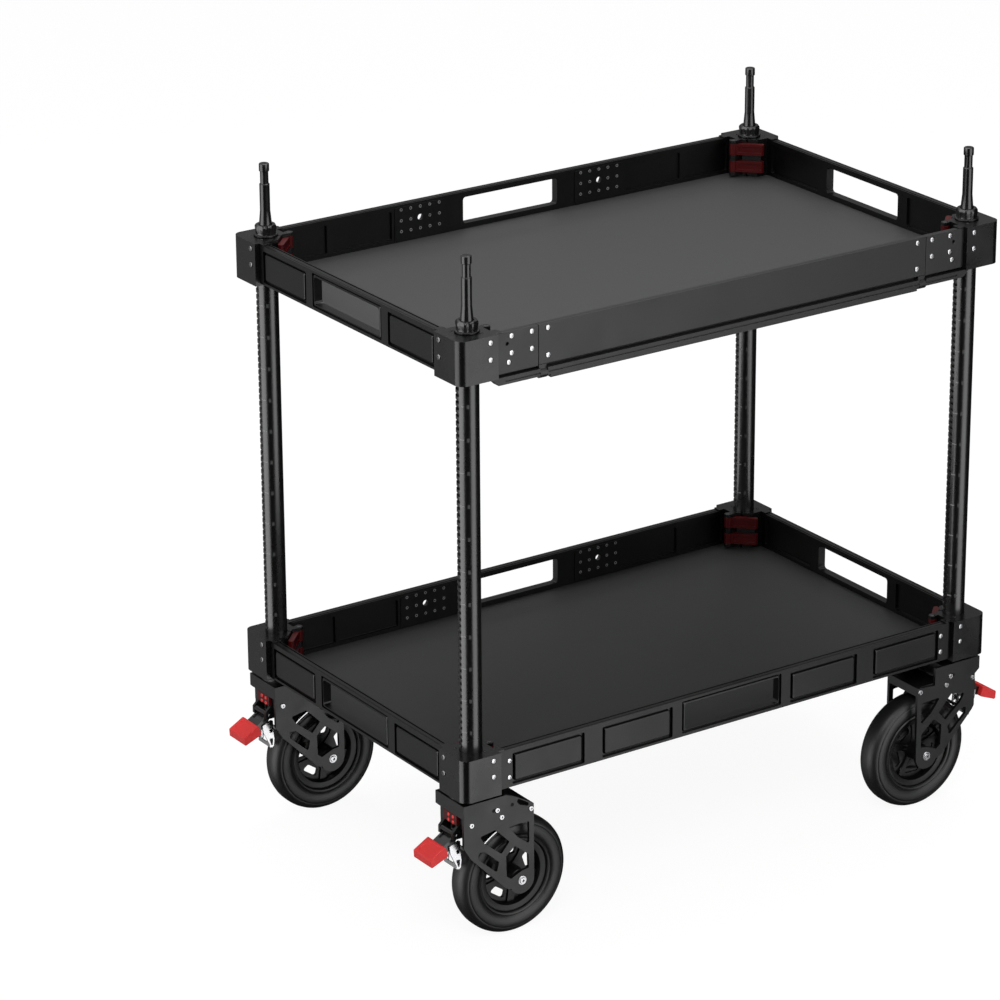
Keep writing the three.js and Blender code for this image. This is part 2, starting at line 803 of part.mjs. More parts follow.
// The flats of the many-sided tyre lie at the wheel's radius, so that it stands on one of them
function tyreGeometry() {
  const flat = 1 / Math.cos(Math.PI / tyreSides);
  const half = tyreWidth / 2;
  const halves = [
    [rimRadius, half - tyreSideInset],
    [wheelRadius - tyreBead / 2, half],
    [wheelRadius - tyreBead / 6, half - tyreSideInset],
    [wheelRadius, half - tyreTreadInset],
  ];
  const lower = halves.map(([radius, side]) => [radius * flat, -side]);
  const upper = halves.map(([radius, side]) => [radius * flat, side]).reverse();
  const profile = [...lower, ...upper, lower[0]];
  return turned(profile, tyreSides).rotateZ(Math.PI / tyreSides).rotateX(Math.PI / 2);
}

// Shares of the pedal's reach outward from its pivot and of its height down from there
const pedalPadShares = [[0.19, 0.03], [1, 0.57], [0.852, 0.88], [0.263, 0.666], [0.19, 0.36]];
const pedalArmShares = [[-0.08, -0.11], [0.12, -0.03], [0.4, 0.2], [0.4, 0.5], [0.12, 0.3], [-0.08, 0.12]];

function pedalPoint([outShare, downShare]) {
  return new THREE.Vector2(-pivotReach - outShare * pedalReach, pivotHeight - downShare * pedalHeight);
}

function pedalGeometry() {
  const pad = new THREE.Shape(pedalPadShares.map(pedalPoint));
  const arm = new THREE.Shape(pedalArmShares.map(pedalPoint));
  const barrelHalf = lugOuter - lugThickness - seatGap;
  const yokeEnd = -pivotReach + barrelRadius;
  const yokeHalf = yokeWidth / 2;
  const body = join([
    crossPin(barrelRadius, -pivotReach, pivotHeight, -barrelHalf, barrelHalf, pedalSides),
    upright(arm, -pedalArmWidth / 2, pedalArmWidth / 2),
    upright(pad, -pedalWidth / 2, pedalWidth / 2),
    boxBetween(yokeEnd - yokeThickness, yokeEnd, -yokeHalf, yokeHalf, pivotHeight - yokeDrop, pivotHeight),
  ]);
  const boreRadius = pivotPinRadius + pivotGap;
  const bore = crossPin(boreRadius, -pivotReach, pivotHeight, -lugOuter, lugOuter, pedalSides);
  return toGeometry(cut(body, [bore]));
}

function addCaster(corner) {
  const caster = new THREE.Group();
  caster.position.set(corner.sx * casterX, corner.sy * casterY, 0);
  caster.rotation.z = corner.sx > 0 ? Math.PI : 0;
  addMesh(caster, `fork_${corner.name}`, forkGeometry(), blackMetal);
  addMesh(caster, `brake_pedal_${corner.name}`, pedalGeometry(), pedalRed);
  const wheel = new THREE.Group();
  wheel.position.set(wheelTrail, 0, wheelRadius);
  addMesh(wheel, `rim_${corner.name}`, rimGeometry(), blackPlastic);
  addMesh(wheel, `tyre_${corner.name}`, tyreGeometry(), rubber);
  caster.add(wheel);
  cart.add(caster);
}

function addPost(corner) {
  const column = new THREE.Group();
  column.position.set(corner.sx * postX, corner.sy * postY, 0);
  addMesh(column, `post_${corner.name}`, postGeometry(), postBlack);
  addMesh(column, `baby_pin_${corner.name}`, babyPin(), postBlack);
  addMesh(column, `pin_lock_${corner.name}`, pinLock(), blackMetal);
  cart.add(column);
}

function addTray(tray) {
  const group = new THREE.Group();
  addMesh(group, `${tray.name}_deck`, deckGeometry(tray), deckGrey);
  addWalls(group, tray);
  for (const corner of corners) {
    addMesh(group, `${tray.name}_block_${corner.name}`, cornerBlock(corner, tray), blackMetal);
    addMesh(group, `${tray.name}_lever_${corner.name}`, clampLever(corner, tray), leverRed);
  }
  cart.add(group);
}

function addFrontPanel() {
  const panel = panelBox(-panelHalfLength, panelHalfLength, panelBottom, panelTop);
  addMesh(cart, 'front_panel', panel, blackMetal);
  addMesh(cart, 'front_rail', frontRail(), blackMetal);
  for (const [side, sign] of [['left', -1], ['right', 1]]) {
    addMesh(cart, `${side}_end_plate`, endPlate(sign), blackMetal);
    addMesh(cart, `${side}_panel_hinge`, panelHinge(sign), blackMetal);
  }
}

// Assembly

const cart = new THREE.Group();
addTray(lowerTray);
addTray(upperTray);
addFrontPanel();
corners.forEach(addPost);
corners.forEach(addCaster);

export default cart;
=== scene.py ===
"""A camera cart: two trays on four notched posts, with baby pins, clamp levers and braked casters.

Lengths are in millimetres and become metres when a piece is made. +Z is up, the floor is at z = 0,
and the fold-down front panel is on the -Y side. Angles are in degrees.
"""

import math

import bmesh
import bpy
from mathutils import Matrix, Vector


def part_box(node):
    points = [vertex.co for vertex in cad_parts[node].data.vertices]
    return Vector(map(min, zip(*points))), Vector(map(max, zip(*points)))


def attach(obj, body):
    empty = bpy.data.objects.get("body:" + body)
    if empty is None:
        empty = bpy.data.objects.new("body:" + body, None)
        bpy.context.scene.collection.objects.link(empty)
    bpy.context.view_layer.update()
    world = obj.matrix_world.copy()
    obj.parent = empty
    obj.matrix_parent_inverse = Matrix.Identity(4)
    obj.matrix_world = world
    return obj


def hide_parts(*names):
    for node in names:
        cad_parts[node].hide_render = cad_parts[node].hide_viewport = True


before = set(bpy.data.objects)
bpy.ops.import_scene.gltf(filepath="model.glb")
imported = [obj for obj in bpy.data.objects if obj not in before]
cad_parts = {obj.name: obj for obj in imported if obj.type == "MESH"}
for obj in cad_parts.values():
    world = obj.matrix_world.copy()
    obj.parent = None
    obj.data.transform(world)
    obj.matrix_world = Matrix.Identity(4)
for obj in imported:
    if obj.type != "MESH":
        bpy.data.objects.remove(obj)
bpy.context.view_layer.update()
scene = bpy.context.scene

MM = 0.001
MICRON = 1e-6
OVERRUN = 2
OVERLAP = 1
FULL_TURN = 360


def reach(node):
    """The lowest and highest corner of a solid, in millimetres."""
    low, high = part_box(node)
    return low / MM, high / MM


# Sizes taken from the solids
block_low, block_high = reach("upper_block_front_left")
HALF_LENGTH = -block_low.x
HALF_WIDTH = -block_low.y
BLOCK_HEIGHT = block_high.z - block_low.z
TRAY_TOPS = {"lower": reach("lower_block_front_left")[1].z, "upper": block_high.z}
post_low, post_high = reach("post_front_left")
POST_RADIUS = (post_high.x - post_low.x) / 2
POST_INSET = HALF_LENGTH + (post_low.x + post_high.x) / 2
wall_low, wall_high = reach("lower_front_wall")
WALL_FACE = -wall_low.y
WALL_THICKNESS = wall_high.y - wall_low.y
LONG_SPAN = wall_high.x
SIDE_SPAN = reach("lower_left_wall")[1].y
WALL_BOTTOM_RISE = wall_low.z - (TRAY_TOPS["lower"] - BLOCK_HEIGHT)
WALL_TOP_DROP = TRAY_TOPS["lower"] - wall_high.z
WHEEL_RADIUS = reach("tyre_front_left")[1].z / 2
panel_low, panel_high = reach("front_panel")
plate_low, plate_high = reach("right_end_plate")
rail_low, rail_high = reach("front_rail")
hinge_high = reach("right_panel_hinge")[1]

# Corner blocks and their clamps
BLOCK_LEG = 67.5
BLOCK_CORNER = 15
BORE_GAP = 0.3
CLAMP_FACE = 24
CLAMP_SLIT = 3
LIP_LENGTH = 10.5
LIP_THICKNESS = 1.7
WALL_RECESS = HALF_WIDTH - WALL_FACE
EAR_INSET = 14
EAR_HEIGHT = 6
EYE_RADIUS = 6.5
EAR_ARC = (150, -30)
LEVER_PIVOT = (22, CLAMP_FACE + 7)
LEVER_HALF = 29
LEVER_INNER = CLAMP_FACE + 1.2
LEVER_THICKNESS = 9
LEVER_CHAMFER = 3
BAR_HEIGHT = 19
BAR_GAP = 10
BAR_DROP = 5.5
BAR_GROOVE = 9.5
BAR_GROOVE_DEPTH = 2
BAR_GROOVE_CORNER = 1.5
BAR_GROOVE_ENDS = (-25, 13.5)
WEB_LAYER = (LEVER_INNER + 0.2, LEVER_INNER + 3)
WEB_ENDS = (-24, 7.5)
PIVOT_PIN = 3
PIVOT_PLAY = 0.5
# Radius, and height from the lowest ear's foot or the highest one's top
PIVOT_FOOT = ((1.6, -1.4), (4.4, -1), (4.4, 0), (PIVOT_PIN, 0))
PIVOT_HEAD = ((PIVOT_PIN, 0), (4.4, 0), (4.4, 0.2), (2.6, 0.6))
SEAT_GAP = 0.3

# Walls
CHANNEL_WIDTH = 4.2
CHANNEL_DEPTH = 4.5
ROLL_RADIUS = 2.4
ROLL_STEPS = 4
FIELD_RISE = 4.6
FIELD_DROP = 7.5
TOP_GROOVES = ((2.6, 3.4, 0.8), (9.8, 12.2, 2.4))
FOOT_STEP = 1.4
FOOT_HEIGHT = 2.6
INNER_BAY_DEPTH = 4
BAY_RISE = 8
BAY_DROP = 8.5
BAY_CORNER = 2.5
BAY_DRAFT = 0.8
HANDLE_HALF = 91
HANDLE_HEIGHT = 43.5
HANDLE_DROP = 9
HANDLE_CORNER = 5
HANDLE_FRAME = 5.2
HANDLE_FRAME_DEPTH = 3
HANDLE_CHANNEL = 2.2
BAY_START = 114
BAY_SPACING = 33
LONG_BAY_MARGIN = 25
SIDE_BAY_MARGIN = 11
PAD_START = 125
PAD_LENGTH = 96
PAD_MARGIN = 4
PAD_CORNER = 3
PAD_THICKNESS = 1.2
PAD_HOLE = 5
PAD_SINK = 11.5
PAD_SINK_DEPTH = 11
PAD_COLUMNS = 5
PAD_ROWS = 3
PAD_PITCH = 18
PAD_RISE = 6
INSERT_PROFILE = ((1.4, -0.8), (1.4, 0.1), (1.7, 0.35), (2.3, 0.35), (2.6, 0.1), (2.6, -0.8))
PAD_BAY_GAP = 5
PAD_BAY_MARGIN = 4
PAD_BAY_SHARES = ((0, 0.535), (0.583, 1))

# Posts, pins and locks
NOTCH_PITCH = 10.35
NOTCH_PHASE = 9.9
NOTCH_HEIGHT = 5.2
NOTCH_DEPTH = 2.8
NOTCH_SLOPE = 0.5
NOTCH_DIRECTION = 158
NOTCH_END = 12
POST_BORE = 14.5
TICK_STEPS = 5
TICK_PHASE = 45.75
TICK_END = 8
TICK_LAYER = (-0.3, 0.06)
# Height, first and last angle
LINE_MARKS = (1.8, 192, 216)
SPOT_MARKS = (6, 232, 244)
LOCK_LOBES = 8

# Casters, about the swivel axis and with the wheel trailing to +X
CASTER_INSET = 46.7
TRAIL = 71.6
FORK_HEEL = 33.7
FORK_INNER = 33.5
FORK_OUTER = 38.5
BOSS_RADIUS = 22
FORK_TOP = reach("fork_front_left")[1].z
FORK_SHOULDER = FORK_TOP - 4.2
RACE_RADIUS = 32
BACK_PLATE = (-19.6, -17)
BACK_PLATE_LEVELS = (183, 205)
HOUSING_LEVELS = (202, 226)
CROWN_BOTTOM = 225
CROWN_FRONT = 42.7
CROSS_LEVELS = (205.3, 219.9)
PIVOT_REACH = 37
PIVOT_HEIGHT = 195

CORNERS = {"front_left": (-1, -1), "back_left": (-1, 1), "back_right": (1, 1), "front_right": (1, -1)}
TRAY_BODIES = {"lower": "chassis", "upper": "upper_tray"}

# Camera, fitted to the photograph
CAMERA_PLACE = (-3.76221, -5.24336, 3.03569)
CAMERA_YAW = 34.01876
CAMERA_PITCH = 21.21863
CAMERA_ROLL = -0.38374
CAMERA_LENS = 157.13


# Places

def shift(x, y, z):
    return Matrix.Translation((x, y, z))


def spin(angle, axis):
    return Matrix.Rotation(math.radians(angle), 4, axis)


def facing(origin, axis):
    """A frame at origin whose Z runs along axis."""
    return Matrix.Translation(origin) @ Vector(axis).to_track_quat("Z", "Y").to_matrix().to_4x4()


def corner_frame(corner):
    """A frame on the cart's outer corner, whose X and Y run inward."""
    sx, sy = CORNERS[corner]
    return shift(sx * HALF_LENGTH, sy * HALF_WIDTH, 0) @ Matrix.Diagonal((-sx, -sy, 1, 1))


def inset_frame(corner, inset):
    """A frame at the posts' inset from the cart's end and at another from its long side."""
    sx, sy = CORNERS[corner]
    return shift(sx * (HALF_LENGTH - POST_INSET), sy * (HALF_WIDTH - inset), 0)


def add_camera():
    data = bpy.data.cameras.new("camera")
    data.lens = CAMERA_LENS
    camera = bpy.data.objects.new("camera", data)
    turn = spin(-CAMERA_YAW, "Z") @ spin(90 - CAMERA_PITCH, "X") @ spin(CAMERA_ROLL, "Z")
    camera.matrix_world = shift(*CAMERA_PLACE) @ turn
    scene.collection.objects.link(camera)
    scene.camera = camera


add_camera()


# Outlines and meshes in millimetres

def arc(radius, start, end, steps, x=0, y=0):
    """Points at equal steps on an arc about (x, y)."""
    turns = [math.radians(start + (end - start) * i / steps) for i in range(steps + 1)]
    return [(x + radius * math.cos(t), y + radius * math.sin(t)) for t in turns]


def circle(radius, sides, x=0, y=0):
    return arc(radius, 0, FULL_TURN, sides, x, y)[:-1]


def rectangle(x0, x1, y0, y1):
    return [(x0, y0), (x1, y0), (x1, y1), (x0, y1)]


def centred(half_x, half_y):
    return rectangle(-half_x, half_x, -half_y, half_y)


def rounded(outline, radius, steps=4):
    """An outline with an arc at each corner."""
    points = []
    for i, corner in enumerate(outline):
        corner = Vector(corner)
        before = (Vector(outline[i - 1]) - corner).normalized()
        after = (Vector(outline[(i + 1) % len(outline)]) - corner).normalized()
        half = before.angle(after) / 2
        middle = corner + (before + after).normalized() * radius / math.sin(half)
        start = corner + before * radius / math.tan(half) - middle
        end = corner + after * radius / math.tan(half) - middle
        sweep = math.pi - 2 * half
        for step in range(steps + 1):
            share = step / steps
            near = math.sin((1 - share) * sweep) / math.sin(sweep)
            far = math.sin(share * sweep) / math.sin(sweep)
            points.append(tuple(middle + start * near + end * far))
    return points


def at_height(outline, z):
    return [(x, y, z) for x, y in outline]


def at_depth(outline, y):
    return [(x, y, z) for x, z in outline]


def skin(rings, loop=False):
    """A closed surface through rings of equally many points, which a loop joins end to end."""
    size = len(rings[0])
    points = [point for ring in rings for point in ring]
    faces = []
    for i in range(len(rings) if loop else len(rings) - 1):
        start = i * size
        end = (i + 1) % len(rings) * size
        for j in range(size):
            k = (j + 1) % size
            faces.append((start + j, start + k, end + k, end + j))
    if not loop:
        faces.append(tuple(reversed(range(size))))
        faces.append(tuple(range(len(points) - size, len(points))))
    mesh = bpy.data.meshes.new("skin")
    mesh.from_pydata(points, [], faces)
    edit = bmesh.new()
    edit.from_mesh(mesh)
    bmesh.ops.recalc_face_normals(edit, faces=edit.faces)
    edit.to_mesh(mesh)
    edit.free()
    return mesh


def turned(profile, sides, loop=False):
    """A profile of (radius, height) turned about Z."""
    return skin([at_height(circle(radius, sides), z) for radius, z in profile], loop)


def prism(outline, z0, z1):
    return skin([at_height(outline, z) for z in (z0, z1)])


def upright(outline, y0, y1):
    """An outline of (x, z) extruded along Y."""
    return skin([at_depth(outline, y) for y in (y0, y1)])


def box(x0, x1, y0, y1, z0, z1):
    return prism(rectangle(x0, x1, y0, y1), z0, z1)


def box_between(low, high):
    return box(low.x, high.x, low.y, high.y, low.z, high.z)


def band(radii, angles, steps, z0, z1, x=0, y=0):
    """A strip of a tube's wall between two angles, about an upright axis at (x, y)."""
    inner, outer = (arc(radius, *angles, steps, x, y) for radius in radii)
    return skin([[(*a, z0), (*b, z0), (*b, z1), (*a, z1)] for a, b in zip(inner, outer)])


def moved(mesh, matrix):
    copy = mesh.copy()
    copy.transform(matrix)
    if matrix.determinant() < 0:
        copy.flip_normals()
    return copy


def seated(mesh, origin, axis):
    return moved(mesh, facing(origin, axis))


def at_corners(mesh):
    return [moved(mesh, corner_frame(corner)) for corner in CORNERS]


def joined(meshes):
    """Separate bodies in one mesh."""
    edit = bmesh.new()
    for mesh in meshes:
        edit.from_mesh(mesh)
    whole = bpy.data.meshes.new("whole")
    edit.to_mesh(whole)
    edit.free()
    return whole


def combined(base, tools, operation="DIFFERENCE"):
    """The base with the tools cut out of it, or joined to it."""
    objects = [bpy.data.objects.new("work", mesh) for mesh in [base, *tools]]
    for item in objects:
        scene.collection.objects.link(item)
    work = objects[0]
    for tool in objects[1:]:
        change = work.modifiers.new("change", "BOOLEAN")
        change.object = tool
        change.operation = operation
        change.solver = "MANIFOLD"
    bpy.context.view_layer.update()
    view = bpy.context.evaluated_depsgraph_get()
    result = bpy.data.meshes.new_from_object(work.evaluated_get(view))
    for item in objects:
        bpy.data.objects.remove(item)
    return result


# Materials

PATCH_SCALE = 18


def set_up(node, **values):
    """Sets a shader node's inputs. Their names have _ for a space here."""
    for name, value in values.items():
        node.inputs[name.replace("_", " ")].default_value = value
    return node


def add_node(tree, kind, **values):
    return set_up(tree.nodes.new(f"ShaderNode{kind}"), **values)


def finish(name, colour, roughness, specular, grain, depth, spread=0.05, mottle=0.12, metallic=0):
    """A grained surface whose colour and gloss drift a little from place to place.

    The grain's depth is in micrometres. Spread is the drift of the gloss, and mottle of the colour.
    """
    material = bpy.data.materials.new(name)
    material.use_nodes = True
    tree = material.node_tree
    links = tree.links
    shader = set_up(tree.nodes["Principled BSDF"], Metallic=metallic, Specular_IOR_Level=specular)
    place = add_node(tree, "TexCoord")
    drift = add_node(tree, "TexNoise", Scale=PATCH_SCALE, Detail=4)
    fine = add_node(tree, "TexNoise", Scale=grain, Detail=3)
    for noise in (drift, fine):
        links.new(place.outputs["Object"], noise.inputs["Vector"])
    tint = add_node(tree, "Mix")
    tint.data_type = "RGBA"
    set_up(tint, A=[c * (1 - mottle) for c in colour] + [1], B=[c * (1 + mottle) for c in colour] + [1])
    links.new(drift.outputs["Fac"], tint.inputs["Factor"])
    links.new(tint.outputs["Result"], shader.inputs["Base Color"])
    gloss = add_node(tree, "MapRange", From_Min=0.3, From_Max=0.7)
    set_up(gloss, To_Min=roughness - spread, To_Max=roughness + spread)
    links.new(drift.outputs["Fac"], gloss.inputs["Value"])
    links.new(gloss.outputs["Result"], shader.inputs["Roughness"])
    bump = add_node(tree, "Bump", Strength=1, Distance=depth * MICRON)
    links.new(fine.outputs["Fac"], bump.inputs["Height"])
    links.new(bump.outputs["Normal"], shader.inputs["Normal"])
    return material


def grey(value):
    return (value, value, value * 1.02)


# Name, colour, roughness, specular, grain, depth, and where they aren't plain spread, mottle, metallic
FINISHES = {row[0]: finish(*row) for row in (
    ("upper_deck_grey", grey(0.044), 0.55, 0.3, 1500, 40, 0.01, 0.04),
    # The lower deck is the same board as the upper one; its darker grey is painted shade from the upper
    # tray above it.
    ("lower_deck_grey", grey(0.028), 0.55, 0.3, 1500, 40, 0.01, 0.04),
    ("wall_black", grey(0.0015), 0.31, 0.31, 1100, 30, 0.03),
    ("block_black", grey(0.004), 0.27, 0.37, 1300, 20),
    ("panel_black", grey(0.008), 0.40, 0.38, 1300, 20),
    ("post_black", grey(0.004), 0.28, 0.62, 1600, 4, 0.02),
    ("pin_black", grey(0.006), 0.22, 0.5, 1600, 6),
    ("lock_black", grey(0.006), 0.24, 0.5, 1600, 8),
    ("lever_red", (0.065, 0.002, 0.003), 0.36, 0.2, 1300, 10),
    ("fork_black", grey(0.004), 0.34, 0.36, 1400, 30),
    ("rim_black", grey(0.003), 0.4, 0.25, 1200, 20),
    ("tyre_black", grey(0.008), 0.46, 0.38, 900, 50),
    ("pedal_red", (0.76, 0.03, 0.03), 0.42, 0.3, 1000, 20),
    ("bright_steel", (0.42, 0.42, 0.43), 0.26, 0.5, 1600, 6, 0.05, 0.12, 1),
    # A darker copy of the bright steel: painted shade for the same screws on the blocks' end faces.
    ("painted_shade_steel", (0.2, 0.2, 0.205), 0.34, 0.5, 1600, 6, 0.05, 0.12, 1),
    ("mark_grey", grey(0.045), 0.5, 0.5, 1600, 5),
    ("insert_grey", grey(0.2), 0.5, 0.5, 1600, 5),
    ("shadow_black", grey(0.003), 0.7, 0.2, 1600, 5),
)}


# Pieces

SHARP = math.radians(32)
# Widths of the softened edges
EDGE = 0.8
WALL_EDGE = 0.9
PLATE_EDGE = 0.7
BRACKET_EDGE = 0.6
BOARD_EDGE = 0.5
YOKE_EDGE = 0.4
SHEET_EDGE = 0.3
PEDAL_EDGE = 2.2


def soften(item, width, segments=2):
    bevel = item.modifiers.new("edges", "BEVEL")
    bevel.width = width * MM
    bevel.segments = segments
    bevel.limit_method = "ANGLE"
    bevel.angle_limit = SHARP
    bevel.use_clamp_overlap = True
    bevel.miter_outer = "MITER_ARC"
    normals = item.modifiers.new("normals", "WEIGHTED_NORMAL")
    normals.keep_sharp = True


def piece(name, body, slot, mesh, edge=0, segments=2, replaces=(), look=None):
    """A piece of the cart, in millimetres, that rides on a body. Its look is its slot's, or another."""
    mesh.transform(Matrix.Scale(MM, 4))
    mesh.name = name
    mesh.materials.clear()
    mesh.materials.append(FINISHES[look or slot])
    mesh.shade_smooth()
    item = bpy.data.objects.new(name, mesh)
    scene.collection.objects.link(item)
    if edge:
        soften(item, edge, segments)
    else:
        mesh.set_sharp_from_angle(angle=SHARP)
    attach(item, body)
    if replaces:
        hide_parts(*replaces)


def stand_in(node, word, body, slot, mesh, edge=0, segments=2):
    """A piece of finer form in the place of one solid, whose name it takes up."""
    piece(f"{node}_{word}", body, slot, mesh, edge, segments, replaces=[node])


# Corner blocks

# X runs across the corner's diagonal, and Y from the post to the tray's middle
CLAMP_FRAME = shift(POST_INSET, POST_INSET, 0) @ spin(-45, "Z")


def lever_levels(top):
    """Heights of the two lever bars, and of the block's ears above, between and below them."""
    bars = []
    for i in range(2):
        high = top - BAR_DROP - i * (BAR_HEIGHT + BAR_GAP)
        bars.append((high - BAR_HEIGHT, high))
    ears = [
        (bars[0][1] + SEAT_GAP, top),
        (bars[1][1] + SEAT_GAP, bars[0][0] - SEAT_GAP),
        (bars[1][0] - SEAT_GAP - EAR_HEIGHT, bars[1][0] - SEAT_GAP),
    ]
    return bars, ears


def ear_outline():
    side, out = LEVER_PIVOT
    root = CLAMP_FACE - OVERRUN
    start = side - EAR_INSET
    eye = arc(EYE_RADIUS, *EAR_ARC, 8, side, out)
    return [(start, root), (start, CLAMP_FACE), *eye, (side - EAR_INSET / 3, root)]


def block_mesh(tray):
    top = TRAY_TOPS[tray]
    bottom = top - BLOCK_HEIGHT
    through = (bottom - OVERRUN, top + OVERRUN)
    face = 2 * POST_INSET + CLAMP_FACE * math.sqrt(2) - BLOCK_LEG
    outline = arc(BLOCK_CORNER, 180, 270, 12, BLOCK_CORNER, BLOCK_CORNER)
    outline += [(BLOCK_LEG, 0), (BLOCK_LEG, face), (face, BLOCK_LEG), (0, BLOCK_LEG)]
    lip = (BLOCK_LEG - OVERRUN, BLOCK_LEG + LIP_LENGTH)
    ledge = (WALL_RECESS, WALL_RECESS + WALL_THICKNESS)
    ears = lever_levels(top)[1]
    added = [moved(prism(ear_outline(), z0, z1), CLAMP_FRAME) for z0, z1 in ears]
    added.append(box(*lip, *ledge, top - LIP_THICKNESS, top))
    added.append(box(*ledge, *lip, top - LIP_THICKNESS, top))
    body = combined(prism(outline, bottom, top), added, "UNION")
    bore = prism(circle(POST_RADIUS + BORE_GAP, 48, POST_INSET, POST_INSET), *through)
    slit = rectangle(-CLAMP_SLIT / 2, CLAMP_SLIT / 2, 0, CLAMP_FACE + OVERRUN)
    return combined(body, [bore, moved(prism(slit, *through), CLAMP_FRAME)])


def lever_mesh(tray):
    bars = lever_levels(TRAY_TOPS[tray])[0]
    side = LEVER_PIVOT[0]
    inner = LEVER_INNER
    outer = inner + LEVER_THICKNESS
    tip = -LEVER_HALF
    outline = [
        (tip, inner + LEVER_CHAMFER), (tip + LEVER_CHAMFER, inner), (side, inner),
        (side, outer), (tip + LEVER_CHAMFER, outer), (tip, outer - LEVER_CHAMFER),
    ]
    solids = []
    cuts = []
    for z0, z1 in bars:
        eye = prism(circle(EYE_RADIUS, 32, *LEVER_PIVOT), z0, z1)
        solids.append(combined(prism(outline, z0, z1), [eye], "UNION"))
        middle = (z0 + z1) / 2
        groove = rectangle(*BAR_GROOVE_ENDS, middle - BAR_GROOVE / 2, middle + BAR_GROOVE / 2)
        groove = rounded(groove, BAR_GROOVE_CORNER, 3)
        cuts.append(upright(groove, outer - BAR_GROOVE_DEPTH, outer + OVERRUN))
    hole = circle(PIVOT_PIN + PIVOT_PLAY, 24, *LEVER_PIVOT)
    cuts.append(prism(hole, bars[1][0] - OVERRUN, bars[0][1] + OVERRUN))
    return moved(combined(joined(solids), cuts), CLAMP_FRAME)


def lever_web_mesh(tray):
    """The dark plate that joins a lever's two bars."""
    bars = lever_levels(TRAY_TOPS[tray])[0]
    web = rectangle(*WEB_ENDS, *WEB_LAYER)
    return moved(prism(web, bars[1][1] - OVERLAP, bars[0][0] + OVERLAP), CLAMP_FRAME)


def pivot_mesh(tray):
    """The clamp lever's pivot pin with its two heads."""
    ears = lever_levels(TRAY_TOPS[tray])[1]
    ends = ((ears[2][0], PIVOT_FOOT), (ears[0][1], PIVOT_HEAD))
    profile = [(r, level + z) for level, end in ends for r, z in end]
    return moved(turned(profile, 24), CLAMP_FRAME @ shift(*LEVER_PIVOT, 0))


# Walls are drawn along X with the outer face at y = 0 and the inner face behind it

bay_end = LONG_SPAN - LONG_BAY_MARGIN
bay_length = (bay_end - BAY_START - BAY_SPACING) / 2
LONG_BAYS = [(BAY_START, BAY_START + bay_length), (bay_end - bay_length, bay_end)]
SIDE_BAYS = [(BAY_START, SIDE_SPAN - SIDE_BAY_MARGIN)]
pad_bay = PAD_START + PAD_LENGTH + PAD_BAY_GAP
pad_run = LONG_SPAN - PAD_BAY_MARGIN - pad_bay
PAD_BAYS = [[pad_bay + share * pad_run for share in shares] for shares in PAD_BAY_SHARES]
WALL_END = HALF_LENGTH - WALL_RECESS
WALL_FRAMES = {
    "front": shift(0, -WALL_FACE, 0),
    "back": shift(0, WALL_FACE, 0) @ spin(180, "Z"),
    "left": shift(-WALL_END, 0, 0) @ spin(-90, "Z"),
    "right": shift(WALL_END, 0, 0) @ spin(90, "Z"),
}


def wall_levels(tray):
    return TRAY_TOPS[tray] - BLOCK_HEIGHT + WALL_BOTTOM_RISE, TRAY_TOPS[tray] - WALL_TOP_DROP


def both_ways(spans):
    return [span for start, end in spans for span in ((start, end), (-end, -start))]


def pad_centres(tray):
    """The middle hole of each pad, as (x, z)."""
    z0, z1 = wall_levels(tray)
    middle = (z0 + BAY_RISE + z1 - BAY_DROP) / 2 + PAD_RISE
    return [(sign * (PAD_START + PAD_LENGTH / 2), middle) for sign in (-1, 1)]


def pocket(x0, x1, z0, z1, face, floor):
    """A cutter with rounded corners and sloping sides, from outside a face to the pocket's floor."""
    away = math.copysign(OVERRUN, face - floor)
    full = rounded(rectangle(x0, x1, z0, z1), BAY_CORNER)
    inset = rectangle(x0 + BAY_DRAFT, x1 - BAY_DRAFT, z0 + BAY_DRAFT, z1 - BAY_DRAFT)
    inset = rounded(inset, BAY_CORNER - BAY_DRAFT)
    return skin([at_depth(full, face + away), at_depth(full, face), at_depth(inset, floor)])


def framed_field(x0, x1, z0, z1, width=CHANNEL_WIDTH, depth=CHANNEL_DEPTH):
    """A cutter for the channel round a field whose edges are rolled over."""
    def ring(inset, y):
        outline = rectangle(x0 + inset, x1 - inset, z0 + inset, z1 - inset)
        return at_depth(rounded(outline, BAY_CORNER), y)

    rings = [ring(0, -OVERRUN), ring(0, depth), ring(width, depth)]
    for along, out in arc(ROLL_RADIUS, 0, 90, ROLL_STEPS):
        rings.append(ring(width + ROLL_RADIUS - along, ROLL_RADIUS - out))
    rings.append(ring(width + ROLL_RADIUS, -OVERRUN))
    return skin(rings, loop=True)


